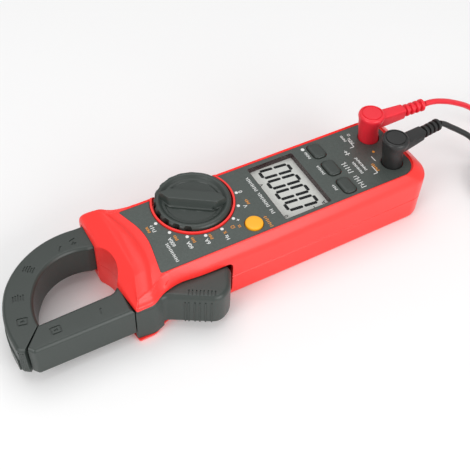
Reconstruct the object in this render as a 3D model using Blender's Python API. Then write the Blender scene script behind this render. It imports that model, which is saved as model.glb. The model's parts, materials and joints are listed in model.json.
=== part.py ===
"""Clamp meter with two plugged-in test leads.

Lengths are in millimetres and are scaled to metres when a mesh is made.
The meter lies on its back: +X runs from the jaws to the tail, +Y away from the trigger,
+Z out of the front panel, and the origin is the middle of the flat back.
"""
import math

import bmesh
import bpy
from mathutils import Matrix, Vector

MM = 0.001

# Case: levels along Z
PARTING_Z = 13.5
WALL = 2.0
PLATE_UNDER_Z = 28.2
PLATE_Z = 30.2
PANEL_Z = 31.0
RIM_Z = 31.5
GAP = 0.3

# Case outline, counter-clockwise: x, y and blend length at the wall, then the same at the rim, and the
# number of steps in the blend
CASE_CORNERS = (
    (111.2, -24.6, 11.0, 105.0, -21.7, 11.0, 4),
    (111.2, 24.6, 11.0, 105.0, 21.7, 11.0, 4),
    (30.0, 25.5, 12.0, 30.0, 21.6, 12.0, 1),
    (-22.0, 25.5, 6.0, -22.0, 21.6, 6.0, 2),
    (-35.0, 23.9, 4.0, -36.0, 21.5, 4.0, 2),
    (-44.5, 26.9, 4.0, -44.0, 23.4, 1.5, 2),
    (-50.8, 31.2, 3.0, -47.3, 26.2, 1.0, 2),
    (-57.5, 31.4, 1.5, -49.7, 26.6, 0.8, 2),
    (-57.5, 16.0, 3.0, -48.3, 16.0, 3.0, 2),
    (-57.2, -14.0, 3.0, -48.4, -14.0, 3.0, 2),
    (-55.1, -30.5, 1.0, -53.3, -27.6, 0.8, 2),
    (-46.3, -30.3, 2.0, -46.4, -27.3, 1.5, 2),
    (-40.5, -26.5, 3.0, -41.0, -23.2, 2.0, 2),
    (-32.0, -24.3, 4.0, -34.0, -21.4, 3.0, 2),
    (-20.0, -25.5, 5.0, -20.0, -21.6, 5.0, 2),
    (30.0, -25.5, 12.0, 30.0, -21.6, 12.0, 1),
)
# Height and share of the way from the wall outline to the rim outline
SHOULDER = ((24.5, 0.0), (26.6, 0.06), (28.6, 0.42), (30.5, 0.84), (RIM_Z, 1.0))

# Panel overlay
PANEL_CORNERS = (
    (103.4, -20.6, 9.0, 4),
    (103.4, 20.6, 9.0, 4),
    (-40.8, 20.74, 1.5, 1),
    (-34.6, 3.0, 9.0, 3),
    (-38.6, -20.74, 1.5, 1),
)
PANEL_THICKNESS = 0.5

# Window in the collar, where the clamped conductor passes
HOLLOW_CENTRE = (-72.6, -2.0)
HOLLOW_RADIUS = 19.6

# Jaws
JAW_LOW_Z = 6.0
JAW_HIGH_Z = 24.0
JAW_CHAMFER = 1.6
JAW_OUTER_ARCS = (
    ((-62.0, 27.4), (-83.6, 23.9), (-101.5, 8.3)),
    ((-101.5, 8.3), (-106.6, -5.0), (-107.4, -20.0)),
)
JAW_INNER_ARCS = (
    ((-60.0, 12.6), (-76.4, 13.2), (-87.0, 5.8)),
    ((-87.0, 5.8), (-92.8, -5.0), (-94.2, -15.9)),
)
JAW_ROOT_X = -50.8
CORE_LOW_Z = 9.0
CORE_HIGH_Z = 21.0

# Jaw hinge
PIVOT = (-47.5, -22.5)
PIN_RADIUS = 2.0
HUB_RADIUS = 5.5

# Dial
DIAL_CENTRE = (-7.0, 10.95)
DIAL_ANGLE = math.radians(-33.7)
KNOB_RADIUS = 18.5
KNOB_TOP_Z = 36.0
WELL_RADIUS = 18.95
WELL_FLOOR_Z = 27.0
RING_RADIUS = 20.27

# Display and keys
WINDOW = (26.8, 52.6, -18.85, 18.24)
KEY_X = 64.6
KEY_Y = (13.48, 0.0, -13.48)
KEY_SIZE = (7.0, 10.5)
KEY_TOP_Z = 32.2
SELECT_CENTRE = (12.2, -14.4)
SELECT_RADIUS = 4.3

# Jacks and leads
JACK_X = 94.4
JACK_Y = 10.3
JACK_HOLE_RADIUS = 5.6
ARM_Z = 41.5
ARM_LENGTH = 32.5
CORD_RADIUS = 1.5
COIL_INNER = 10.3
COIL_OUTER = 22.7
COIL_LOW_Z = 0.9
COIL_HIGH_Z = 7.3
PROBE_Z = 4.0
PROBE_TILT = 1.5

# Back of the case
BOARD_LOW_Z = 19.0
BOARD_HIGH_Z = 20.6
CASE_SCREWS = ((82.0, 19.0), (82.0, -19.0), (2.0, -20.4), (-32.0, 17.3))
BAY = (22.0, 76.4, -13.6, 13.6)
BAY_WALL = 1.6
DOOR_SCREW = (82.4, 0.0)
BAY_ROOF_Z = 15.4
CELL_RADIUS = 5.2
CELL_LENGTH = 44.0
CELL_Y = 5.7
CELL_Z = 8.0
CONTACT_THICKNESS = 0.5

# Finishes: base colour, roughness, metallic
RED = ((0.86, 0.055, 0.05), 0.42, 0.0)
SLATE = ((0.085, 0.1, 0.1), 0.5, 0.0)
BLACK = ((0.02, 0.02, 0.02), 0.45, 0.0)
PANEL_GREY = ((0.12, 0.125, 0.13), 0.4, 0.2)
ORANGE = ((0.93, 0.5, 0.03), 0.4, 0.0)
CLEAR = ((0.9, 0.93, 0.93), 0.05, 0.0)
LCD_GREY = ((0.55, 0.57, 0.54), 0.2, 0.0)
BOARD_GREEN = ((0.02, 0.16, 0.06), 0.45, 0.0)
STEEL = ((0.6, 0.6, 0.6), 0.3, 1.0)
BRASS = ((0.75, 0.55, 0.22), 0.3, 1.0)
COPPER = ((0.6, 0.25, 0.1), 0.35, 1.0)
RUBBER = ((0.25, 0.25, 0.25), 0.7, 0.0)
CELL_COLOUR = ((0.3, 0.32, 0.35), 0.35, 0.3)
LEAD_RED = ((0.75, 0.02, 0.03), 0.45, 0.0)


def clear_objects():
    for old in list(bpy.data.objects):
        bpy.data.objects.remove(old, do_unlink=True)


def add_object(name, bm, finish, parent=None):
    """Turn a bmesh in millimetres into a named object with its own material."""
    bmesh.ops.scale(bm, vec=(MM, MM, MM), verts=bm.verts)
    mesh = bpy.data.meshes.new(name)
    bm.to_mesh(mesh)
    bm.free()
    part = bpy.data.objects.new(name, mesh)
    bpy.context.scene.collection.objects.link(part)
    if finish:
        part.data.materials.append(add_material(name, finish))
        mesh.shade_smooth()
        mesh.set_sharp_from_angle(angle=math.radians(30))
    if parent:
        hang_on(part, parent)
    return part


def add_material(name, finish):
    colour, roughness, metallic = finish
    made = bpy.data.materials.new(name)
    made.use_nodes = True
    shader = made.node_tree.nodes["Principled BSDF"]
    shader.inputs["Base Color"].default_value = (*colour, 1.0)
    shader.inputs["Roughness"].default_value = roughness
    shader.inputs["Metallic"].default_value = metallic
    made.diffuse_color = (*colour, 1.0)
    return made


def hang_on(part, parent):
    """Parent an object without moving it."""
    part.parent = parent
    part.matrix_parent_inverse = Matrix.Translation(parent.location).inverted()


def add_axis(name, x, y):
    """An empty on a hinge axis, as the parent of what turns there."""
    axis = bpy.data.objects.new(name, None)
    axis.location = (x * MM, y * MM, 0.0)
    bpy.context.scene.collection.objects.link(axis)
    return axis


def add_tool(name, bm):
    """A cutter or an added shape, left out of the model itself."""
    tool = add_object(name, bm, None)
    tool.hide_render = True
    tool.display_type = "WIRE"
    return tool


def combine(part, name, bm, operation):
    """Cut, join or trim a part with a shape."""
    modifier = part.modifiers.new(name, "BOOLEAN")
    modifier.object = add_tool(name, bm)
    modifier.operation = operation
    modifier.solver = "EXACT"


def combine_each(part, name, shapes, operation):
    """Cut, join or trim a part with several shapes that may overlap each other."""
    for index, shape in enumerate(shapes):
        combine(part, "%s_%d" % (name, index), shape, operation)


def blend_corner(before, corner, after, cut, steps):
    """Points of the circular arc that starts and ends a cut's length from the corner."""
    towards_before = (before - corner).normalized()
    towards_after = (after - corner).normalized()
    start = corner + towards_before * cut
    end = corner + towards_after * cut
    weight = math.cos((math.pi - towards_before.angle(towards_after)) / 2)
    points = []
    for step in range(steps + 1):
        t = step / steps
        first = (1 - t) ** 2
        middle = 2 * t * (1 - t) * weight
        last = t * t
        points.append((start * first + corner * middle + end * last) / (first + middle + last))
    return points


def outline(corners, distance=0.0):
    """A closed counter-clockwise outline through corners given as x, y, blend length and steps.

    A distance moves it inwards: convex blends get tighter and concave ones get wider.
    """
    places = [Vector((corner[0], corner[1])) for corner in corners]
    moved_places = inset(places, distance)
    points = []
    for index, corner in enumerate(corners):
        before = places[index - 1]
        place = places[index]
        after = places[(index + 1) % len(places)]
        turn = (after - place).angle_signed(place - before)
        cut = max(0.25, corner[2] - distance * math.tan(turn / 2))
        next_place = moved_places[(index + 1) % len(places)]
        points += blend_corner(moved_places[index - 1], moved_places[index], next_place, cut, corner[3])
    return points


def rectangle(x_low, x_high, y_low, y_high, blend=0.8, steps=1):
    places = ((x_high, y_low), (x_high, y_high), (x_low, y_high), (x_low, y_low))
    return outline([(x, y, blend, steps) for x, y in places])


def grown(bounds, margin):
    """Bounds x_low, x_high, y_low, y_high moved outwards by a margin."""
    x_low, x_high, y_low, y_high = bounds
    return x_low - margin, x_high + margin, y_low - margin, y_high + margin


def circle(centre, radius, segments=32):
    turn = 2 * math.pi / segments
    return [
        Vector((centre[0] + radius * math.cos(turn * i), centre[1] + radius * math.sin(turn * i)))
        for i in range(segments)
    ]


def arc_through(start, middle, end, steps):
    """Points on the circle through three places, without the last one."""
    ax, ay = start
    bx, by = middle
    cx, cy = end
    d = 2 * (ax * (by - cy) + bx * (cy - ay) + cx * (ay - by))
    a2 = ax * ax + ay * ay
    b2 = bx * bx + by * by
    c2 = cx * cx + cy * cy
    centre_x = (a2 * (by - cy) + b2 * (cy - ay) + c2 * (ay - by)) / d
    centre_y = (a2 * (cx - bx) + b2 * (ax - cx) + c2 * (bx - ax)) / d
    radius = math.hypot(ax - centre_x, ay - centre_y)
    first = math.atan2(ay - centre_y, ax - centre_x)
    sweep = math.atan2(cy - centre_y, cx - centre_x) - first
    sweep = (sweep + math.pi) % (2 * math.pi) - math.pi
    return [
        Vector((centre_x + radius * math.cos(first + sweep * i / steps),
                centre_y + radius * math.sin(first + sweep * i / steps)))
        for i in range(steps)
    ]


def inset(points, distance):
    """A counter-clockwise outline moved inwards."""
    moved = []
    for index, point in enumerate(points):
        along_before = (point - points[index - 1]).normalized()
        along_after = (points[(index + 1) % len(points)] - point).normalized()
        inward_before = Vector((-along_before.y, along_before.x))
        inward_after = Vector((-along_after.y, along_after.x))
        inward = (inward_before + inward_after).normalized()
        moved.append(point + inward * (distance / max(0.4, inward.dot(inward_before))))
    return moved


def level(points, z):
    return [Vector((point.x, point.y, z)) for point in points]


def loft(rings):
    """A closed solid through rings with equal counts of points, capped at both ends."""
    bm = bmesh.new()
    loops = [[bm.verts.new(point) for point in ring] for ring in rings]
    count = len(loops[0])
    for low, high in zip(loops, loops[1:]):
        for i in range(count):
            j = (i + 1) % count
            bm.faces.new((low[i], low[j], high[j], high[i]))
    bm.faces.new(list(reversed(loops[0])))
    bm.faces.new(loops[-1])
    return bm


def flattened(bm):
    """The same solid with its warped four-sided faces split in two, so that Booleans cut it cleanly."""
    bmesh.ops.triangulate(bm, faces=[face for face in bm.faces if len(face.verts) == 4])
    return bm


def prism(points, z_low, z_high):
    return loft([level(points, z_low), level(points, z_high)])


def chamfered(shape, z_low, z_high, chamfer):
    """A prism with both rims chamfered, from a function that gives its outline moved inwards."""
    return loft([
        level(shape(chamfer), z_low),
        level(shape(0.0), z_low + chamfer),
        level(shape(0.0), z_high - chamfer),
        level(shape(chamfer), z_high),
    ])


def turned(profile, centre=(0.0, 0.0), segments=24):
    """A solid turned about Z through radius and height pairs, from the bottom to the top."""
    return loft([level(circle(centre, radius, segments), z) for radius, z in profile])


def turned_ring(profile, centre=(0.0, 0.0), segments=24):
    """A ring turned about Z from a closed profile, up its outer side and down its inner side."""
    bm = bmesh.new()
    loops = [[bm.verts.new(point) for point in level(circle(centre, radius, segments), z)]
             for radius, z in profile]
    for index, low in enumerate(loops):
        high = loops[(index + 1) % len(loops)]
        for i in range(segments):
            j = (i + 1) % segments
            bm.faces.new((low[i], low[j], high[j], high[i]))
    return bm


def moved(bm, matrix):
    bmesh.ops.transform(bm, matrix=matrix, verts=bm.verts)
    return bm


def wire(name, points, radius, finish, resolution=1):
    """A round wire or cord along a list of points in millimetres."""
    curve = bpy.data.curves.new(name, "CURVE")
    curve.dimensions = "3D"
    curve.bevel_depth = radius * MM
    curve.bevel_resolution = resolution
    curve.use_fill_caps = True
    spline = curve.splines.new("POLY")
    spline.points.add(len(points) - 1)
    for spline_point, place in zip(spline.points, points):
        spline_point.co = (place[0] * MM, place[1] * MM, place[2] * MM, 1.0)
    part = bpy.data.objects.new(name, curve)
    bpy.context.scene.collection.objects.link(part)
    curve.materials.append(add_material(name, finish))
    return part


def case_ring(share, distance=0.0):
    """The case outline, part of the way from the wall to the rim, moved inwards by a distance."""
    corners = []
    for x, y, cut, rim_x, rim_y, rim_cut, steps in CASE_CORNERS:
        corners.append((
            x + (rim_x - x) * share,
            y + (rim_y - y) * share,
            cut + (rim_cut - cut) * share,
            steps,
        ))
    return outline(corners, distance)


def case_cavity(z_low, z_high, low_inset, high_share):
    """The room inside a shell, which keeps a wall behind the collar's window."""
    cavity = loft([
        level(case_ring(0.0, low_inset), z_low),
        level(case_ring(0.0, WALL), min(z_high, SHOULDER[0][0]) - 1.0),
        level(case_ring(high_share, WALL), z_high),
    ])
    tool = add_tool("room_%g" % z_low, flattened(cavity))
    combine(tool, "window_wall_%g" % z_low, prism(circle(HOLLOW_CENTRE, HOLLOW_RADIUS + WALL, 36), -5, 50),
            "DIFFERENCE")
    return tool


def cut_with(part, tool):
    modifier = part.modifiers.new(tool.name, "BOOLEAN")
    modifier.object = tool
    modifier.operation = "DIFFERENCE"
    modifier.solver = "EXACT"


def jaw_openings(z_low, z_high):
    """Room for both jaws' roots and for the trigger's swing, between two heights."""
    slot_side = rectangle(-62.0, -4.7, 2.3, 24.0, 3.0, 3)
    slot = prism(slot_side, 20.0, 45.0)
    moved(slot, Matrix.Rotation(math.radians(90), 4, "X"))
    front = prism(rectangle(-62.0, -45.0, -45.0, -11.8), 2.3, 24.0)
    root_side = rectangle(-62.0, JAW_ROOT_X + 1.0, 12.2 - GAP, 27.4 + GAP)
    fixed_root = prism(root_side, JAW_LOW_Z - GAP, JAW_HIGH_Z + GAP)
    hollow = prism(circle(HOLLOW_CENTRE, HOLLOW_RADIUS, 36), z_low, z_high)
    return slot, front, fixed_root, hollow


def front_shell():
    rings = [level(case_ring(0.0), PARTING_Z + GAP / 2)]
    rings += [level(case_ring(share), z) for z, share in SHOULDER]
    shell = add_object("front_shell", flattened(loft(rings)), RED)
    cut_with(shell, case_cavity(PARTING_Z - 1.0, PLATE_UNDER_Z, WALL, 0.34))
    inside = prism(case_ring(0.5), WELL_FLOOR_Z - 2.2, RIM_Z)
    cup = add_tool("dial_cup", prism(circle(DIAL_CENTRE, RING_RADIUS, 36), WELL_FLOOR_Z - 2.2, RIM_Z))
    combine(cup, "dial_cup_trim", inside, "INTERSECT")
    cup_join = shell.modifiers.new("dial_cup", "BOOLEAN")
    cup_join.object = cup
    cup_join.operation = "UNION"
    cup_join.solver = "EXACT"
    boss_top_z = PLATE_UNDER_Z + 0.5
    bosses = [turned(((2.8, PARTING_Z + GAP / 2), (2.8, boss_top_z)), place, 12) for place in CASE_SCREWS]
    bosses.append(turned(((3.5, 23.6), (3.5, boss_top_z)), PIVOT, 16))
    combine_each(shell, "front_bosses", bosses, "UNION")
    combine_each(shell, "jaw_room_front", jaw_openings(PARTING_Z - 2.0, 40.0), "DIFFERENCE")
    panel_bed = prism(outline(PANEL_CORNERS, -GAP), PLATE_Z, 40.0)
    bed = add_tool("panel_bed", panel_bed)
    ring_island = prism(circle(DIAL_CENTRE, RING_RADIUS, 36), PLATE_Z - 1.0, 41.0)
    combine(bed, "dial_ring_island", ring_island, "DIFFERENCE")
    cut_with(shell, bed)
    x_low, x_high, y_low, y_high = WINDOW
    holes = [
        prism(circle(DIAL_CENTRE, WELL_RADIUS, 36), WELL_FLOOR_Z, 42.0),
        prism(circle(DIAL_CENTRE, 5.0, 24), 20.0, WELL_FLOOR_Z + 1.0),
        prism(rectangle(x_low - 0.2, x_high + 0.2, y_low - 0.2, y_high + 0.2), 20.0, 42.0),
        prism(circle(SELECT_CENTRE, SELECT_RADIUS + GAP, 24), 20.0, 42.0),
    ]
    for y in KEY_Y:
        holes.append(prism(key_outline(y, GAP), 20.0, 42.0))
    for y in (JACK_Y, -JACK_Y):
        holes.append(prism(circle((JACK_X, y), JACK_HOLE_RADIUS, 20), 20.0, 42.0))
    combine_each(shell, "front_holes", holes, "DIFFERENCE")
    pilots = [turned(((1.4, PARTING_Z - 2.0), (1.4, 24.0)), place, 12) for place in CASE_SCREWS]
    pilots.append(turned(((PIN_RADIUS + GAP, 20.0), (PIN_RADIUS + GAP, 27.0)), PIVOT, 16))
    combine_each(shell, "front_pilots", pilots, "DIFFERENCE")
    return shell


def key_outline(y, margin):
    half_x = KEY_SIZE[0] / 2 + margin
    half_y = KEY_SIZE[1] / 2 + margin
    return rectangle(KEY_X - half_x, KEY_X + half_x, y - half_y, y + half_y, 2.2, 2)


def rear_shell():
    rings = [
        level(case_ring(0.0, 1.2), 0.0),
        level(case_ring(0.0, 0.2), 1.5),
        level(case_ring(0.0), PARTING_Z - GAP / 2),
    ]
    shell = add_object("rear_shell", flattened(loft(rings)), RED)
    cut_with(shell, case_cavity(WALL, PARTING_Z + 1.0, WALL + 0.2, 0.0))
    bosses = [turned(((3.2, 1.0), (3.2, PARTING_Z - GAP / 2)), place, 16) for place in CASE_SCREWS]
    bosses.append(turned(((4.2, 1.0), (4.2, 4.7)), PIVOT, 20))
    bosses.append(turned(((3.2, 1.0), (3.2, 9.0)), DOOR_SCREW, 16))
    bosses.append(prism(rectangle(BAY[1] - 1.0, DOOR_SCREW[0] + 5.6, -6.2, 6.2), 1.0, 3.6))
    bosses.append(prism(rectangle(*BAY), 1.0, BAY_ROOF_Z))
    combine_each(shell, "rear_bosses", bosses, "UNION")
    combine_each(shell, "jaw_room_rear", jaw_openings(-5.0, 20.0), "DIFFERENCE")
    bay = prism(rectangle(*grown(BAY, -BAY_WALL)), -2.0, BAY_ROOF_Z - BAY_WALL)
    door_bed = prism(outline(door_corners(GAP)), -3.0, 2.0)
    holes = [bay, door_bed]
    for place in CASE_SCREWS:
        holes.append(turned(((2.9, -2.0), (2.9, 3.4)), place, 16))
        holes.append(turned(((1.4, 3.0), (1.4, 20.0)), place, 12))
    holes.append(turned(((PIN_RADIUS + GAP, 1.2), (PIN_RADIUS + GAP, 8.0)), PIVOT, 16))
    holes.append(turned(((1.3, 0.0), (1.3, 8.0)), DOOR_SCREW, 12))
    combine_each(shell, "rear_holes", holes, "DIFFERENCE")
    return shell


def door_corners(margin):
    """The battery door with its screw tab towards the tail."""
    x_low, x_high, _, half_width = grown(BAY, margin - 0.8)
    shoulder_x = DOOR_SCREW[0] - 4.0 + margin
    tab_x = DOOR_SCREW[0] + 4.0 + margin
    tab_y = 4.5 + margin
    near_side = (
        (x_low, -half_width, 1.0, 1),
        (x_high, -half_width, 1.0, 1),
        (shoulder_x, -tab_y, 1.0, 1),
        (tab_x, -tab_y, 1.0, 1),
    )
    far_side = [(x, -y, cut, steps) for x, y, cut, steps in reversed(near_side)]
    return [*near_side, *far_side]


def panel_overlay():
    film = prism(outline(PANEL_CORNERS), PANEL_Z - PANEL_THICKNESS, PANEL_Z)
    sheet = add_object("panel_overlay", film, PANEL_GREY)
    x_low, x_high, y_low, y_high = WINDOW
    holes = [
        prism(circle(DIAL_CENTRE, RING_RADIUS + GAP, 36), 25.0, 35.0),
        prism(rectangle(x_low, x_high, y_low, y_high), 25.0, 35.0),
        prism(circle(SELECT_CENTRE, SELECT_RADIUS + GAP, 24), 25.0, 35.0),
    ]
    for y in KEY_Y:
        holes.append(prism(key_outline(y, GAP), 25.0, 35.0))
    for y in (JACK_Y, -JACK_Y):
        holes.append(prism(circle((JACK_X, y), JACK_HOLE_RADIUS, 20), 25.0, 35.0))
    combine_each(sheet, "panel_holes", holes, "DIFFERENCE")


def display():
    glass = grown(WINDOW, 0.8)
    add_object("display_lens", prism(rectangle(*grown(WINDOW, -GAP)), 30.0, 30.8), CLEAR)
    add_object("lcd_glass", prism(rectangle(*glass), 25.6, 27.8), LCD_GREY)
    frame = add_object("lcd_frame", prism(rectangle(*grown(glass, 1.6)), 21.0, 27.8), BLACK)
    pocket = prism(rectangle(*grown(glass, GAP)), 25.3, 30.0)
    through = prism(rectangle(*grown(glass, -2.0)), 18.0, 26.0)
    combine_each(frame, "lcd_pocket", (pocket, through), "DIFFERENCE")
    strip_x = WINDOW[0] + 1.6
    strip = prism(rectangle(strip_x, strip_x + 2.2, -15.0, 15.0), 21.0, 25.3)
    add_object("lcd_connector_strip", strip, RUBBER)


def board():
    corners = (
        (6.5, -4.2, 1.0, 1),
        (6.5, -21.0, 1.0, 1),
        (84.0, -21.0, 1.0, 1),
        (84.0, 21.0, 1.0, 1),
        (-27.0, 21.0, 1.0, 1),
        (-27.0, -4.2, 1.0, 1),
    )
    plate = add_object("main_board", prism(outline(corners), BOARD_LOW_Z, BOARD_HIGH_Z), BOARD_GREEN)
    notches = [prism(circle(place, 3.4, 16), 15.0, 25.0) for place in CASE_SCREWS[:2]]
    combine_each(plate, "board_notches", notches, "DIFFERENCE")
    add_object("measuring_chip", prism(rectangle(56.5, 66.5, -5.0, 5.0), 17.0, 18.7), BLACK)
    add_object("buzzer", turned(((5.4, 14.7), (6.0, 15.2), (6.0, 18.7)), (14.0, 8.0), 24), BLACK)
    add_object("select_switch", prism(rectangle(9.2, 15.2, -17.4, -11.4), 20.9, 24.6), BLACK)
    mat = add_object("keypad_mat", prism(rectangle(59.4, 69.8, -19.6, 19.6), 20.9, 22.4), RUBBER)
    domes = [turned(((3.4, 22.0), (2.4, 25.0)), (KEY_X, y), 16) for y in KEY_Y]
    combine_each(mat, "keypad_domes", domes, "UNION")


def keys():
    """Four caps that slide down onto the switches; a flange under the plate keeps them in."""
    for name, y in zip(("hold_key", "peak_key", "relative_key"), KEY_Y):
        cap = loft([
            level(key_outline(y, 0.9), 26.6),
            level(key_outline(y, 0.9), PLATE_UNDER_Z - GAP),
            level(key_outline(y, 0.0), PLATE_UNDER_Z - GAP + 0.05),
            level(key_outline(y, 0.0), KEY_TOP_Z - 0.5),
            level(key_outline(y, -0.5), KEY_TOP_Z),
        ])
        add_object(name, cap, SLATE, add_axis(name + "_axis", KEY_X, y))
    profile = (
        (SELECT_RADIUS + 0.9, 26.0),
        (SELECT_RADIUS + 0.9, PLATE_UNDER_Z - GAP),
        (SELECT_RADIUS, PLATE_UNDER_Z - GAP + 0.05),
        (SELECT_RADIUS, KEY_TOP_Z - 0.6),
        (SELECT_RADIUS - 0.6, KEY_TOP_Z),
    )
    select = turned(profile, SELECT_CENTRE, 24)
    add_object("select_key", select, ORANGE, add_axis("select_key_axis", *SELECT_CENTRE))


def dial():
    """The knob above the panel, and the rotor with its wiper under the well's floor."""
    axis = add_axis("dial_axis", *DIAL_CENTRE)
    turn = Matrix.Translation((*DIAL_CENTRE, 0.0)) @ Matrix.Rotation(DIAL_ANGLE, 4, "Z")
    rim = KNOB_RADIUS
    knob_profile = ((rim - 0.5, 27.4), (rim, 28.0), (rim, 32.0), (rim - 0.9, 33.2), (rim - 2.4, 33.4),
                    (rim - 4.2, 32.4))
    knob = add_object("dial_knob", moved(turned(knob_profile, segments=40), turn), SLATE, axis)
    grip_low = outline(((17.2, 0.0, 1.0, 1), (9.0, 5.6, 3.0, 1), (-9.0, 5.6, 3.0, 1),
                        (-17.2, 0.0, 1.0, 1), (-9.0, -5.6, 3.0, 1), (9.0, -5.6, 3.0, 1)))
    grip_high = outline(((15.6, 0.0, 1.0, 1), (10.5, 2.6, 2.0, 1), (-10.5, 2.6, 2.0, 1),
                         (-15.6, 0.0, 1.0, 1), (-10.5, -2.6, 2.0, 1), (10.5, -2.6, 2.0, 1)))
    grip = loft([level(grip_low, 31.0), level(grip_low, 32.5), level(grip_high, KNOB_TOP_Z)])
    combine(knob, "knob_grip", moved(grip, turn), "UNION")
    cuts = []
    for step in range(11):
        angle = math.radians(90 + 18 * step)
        place = ((rim + 0.9) * math.cos(angle), (rim + 0.9) * math.sin(angle))
        cuts.append(moved(turned(((1.9, 25.0), (1.9, 32.4)), place, 10), turn))
    cuts.append(moved(prism(rectangle(-4.3, 3.3, -4.3, 4.3), 25.0, 31.0), turn))
    combine_each(knob, "knob_cuts", cuts, "DIFFERENCE")

    disc = turned(((11.9, 22.0), (11.9, 24.3)), segments=24)
    rotor = add_object("dial_rotor", moved(disc, turn), BLACK, axis)
    stem = loft([level(circle((0, 0), 4.4, 24), 23.0), level(circle((0, 0), 4.4, 24), 27.1)])
    key = prism(rectangle(-4.0, 3.0, -4.0, 4.0, 1.5), 27.0, 30.6)
    combine(rotor, "rotor_stem", moved(stem, turn), "UNION")
    combine(rotor, "rotor_key", moved(key, turn), "UNION")
    wiper = turned_ring(((11.0, 21.2), (11.0, 21.7), (7.0, 21.7), (7.0, 21.2)), segments=24)
    wiper_part = add_object("dial_wiper", moved(wiper, turn), BRASS, axis)
    slit = prism(rectangle(-14.0, 14.0, 1.0, 14.0), 20.0, 23.0)
    combine(wiper_part, "wiper_slit", moved(slit, turn), "DIFFERENCE")


def jaw_side(arcs, root_y, steps):
    """A side of the fixed jaw from its root to its tip."""
    points = [Vector((JAW_ROOT_X, root_y))]
    for arc in arcs:
        points += arc_through(*arc, steps)
    points.append(Vector(arcs[-1][2]))
    return points


def jaw_between(share_low, share_high):
    """The stretch of the fixed jaw between two shares of its width, counted from the inner side."""
    inner = jaw_side(JAW_INNER_ARCS, 12.2, 7)
    outer = jaw_side(JAW_OUTER_ARCS, 27.4, 7)
    low = [a.lerp(b, share_low) for a, b in zip(inner, outer)]
    high = [a.lerp(b, share_high) for a, b in zip(inner, outer)]
    return low, high


def fixed_jaw():
    inner, outer = jaw_between(0.0, 1.0)
    tip = [Vector((-106.4, -25.2)), Vector((-104.4, -26.6)), Vector((-103.3, -25.4))]
    around = list(reversed(inner)) + outer + tip
    body = chamfered(lambda distance: inset(around, distance), JAW_LOW_Z, JAW_HIGH_Z, JAW_CHAMFER)
    shell = add_object("fixed_jaw_shell", body, SLATE)
    combine(shell, "jaw_flange", prism(rectangle(-54.4, -52.6, 13.0, 28.4), 4.4, 24.8), "UNION")
    low, high = jaw_between(0.24, 0.76)
    channel = [point for point in reversed(low[1:-1])] + [Vector((-40.0, low[0].y))]
    channel += [Vector((-40.0, high[0].y))] + high[1:-1]
    channel_room = prism(inset(channel, -GAP), CORE_LOW_Z - GAP, CORE_HIGH_Z + GAP)
    combine(shell, "jaw_channel", channel_room, "DIFFERENCE")
    leg = [
        Vector((-48.5, low[0].y)),
        Vector((-48.5, -10.5)),
        Vector((-41.4, -10.5)),
        Vector((-41.4, 17.4)),
        Vector((-46.6, high[0].y)),
    ]
    around_core = [point for point in reversed(low[1:-1])] + leg + high[1:-1]
    add_object("fixed_core", prism(around_core, CORE_LOW_Z, CORE_HIGH_Z), STEEL)
    coil = add_object("pickup_coil", prism(rectangle(-50.5, -39.2, -6.0, 10.5, 1.5), 6.9, 23.1), COPPER)
    bore_side = rectangle(-48.5 - GAP, -41.4 + GAP, -12.0, 14.0, 0.1)
    combine(coil, "coil_bore", prism(bore_side, CORE_LOW_Z - GAP, CORE_HIGH_Z + GAP), "DIFFERENCE")


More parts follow.
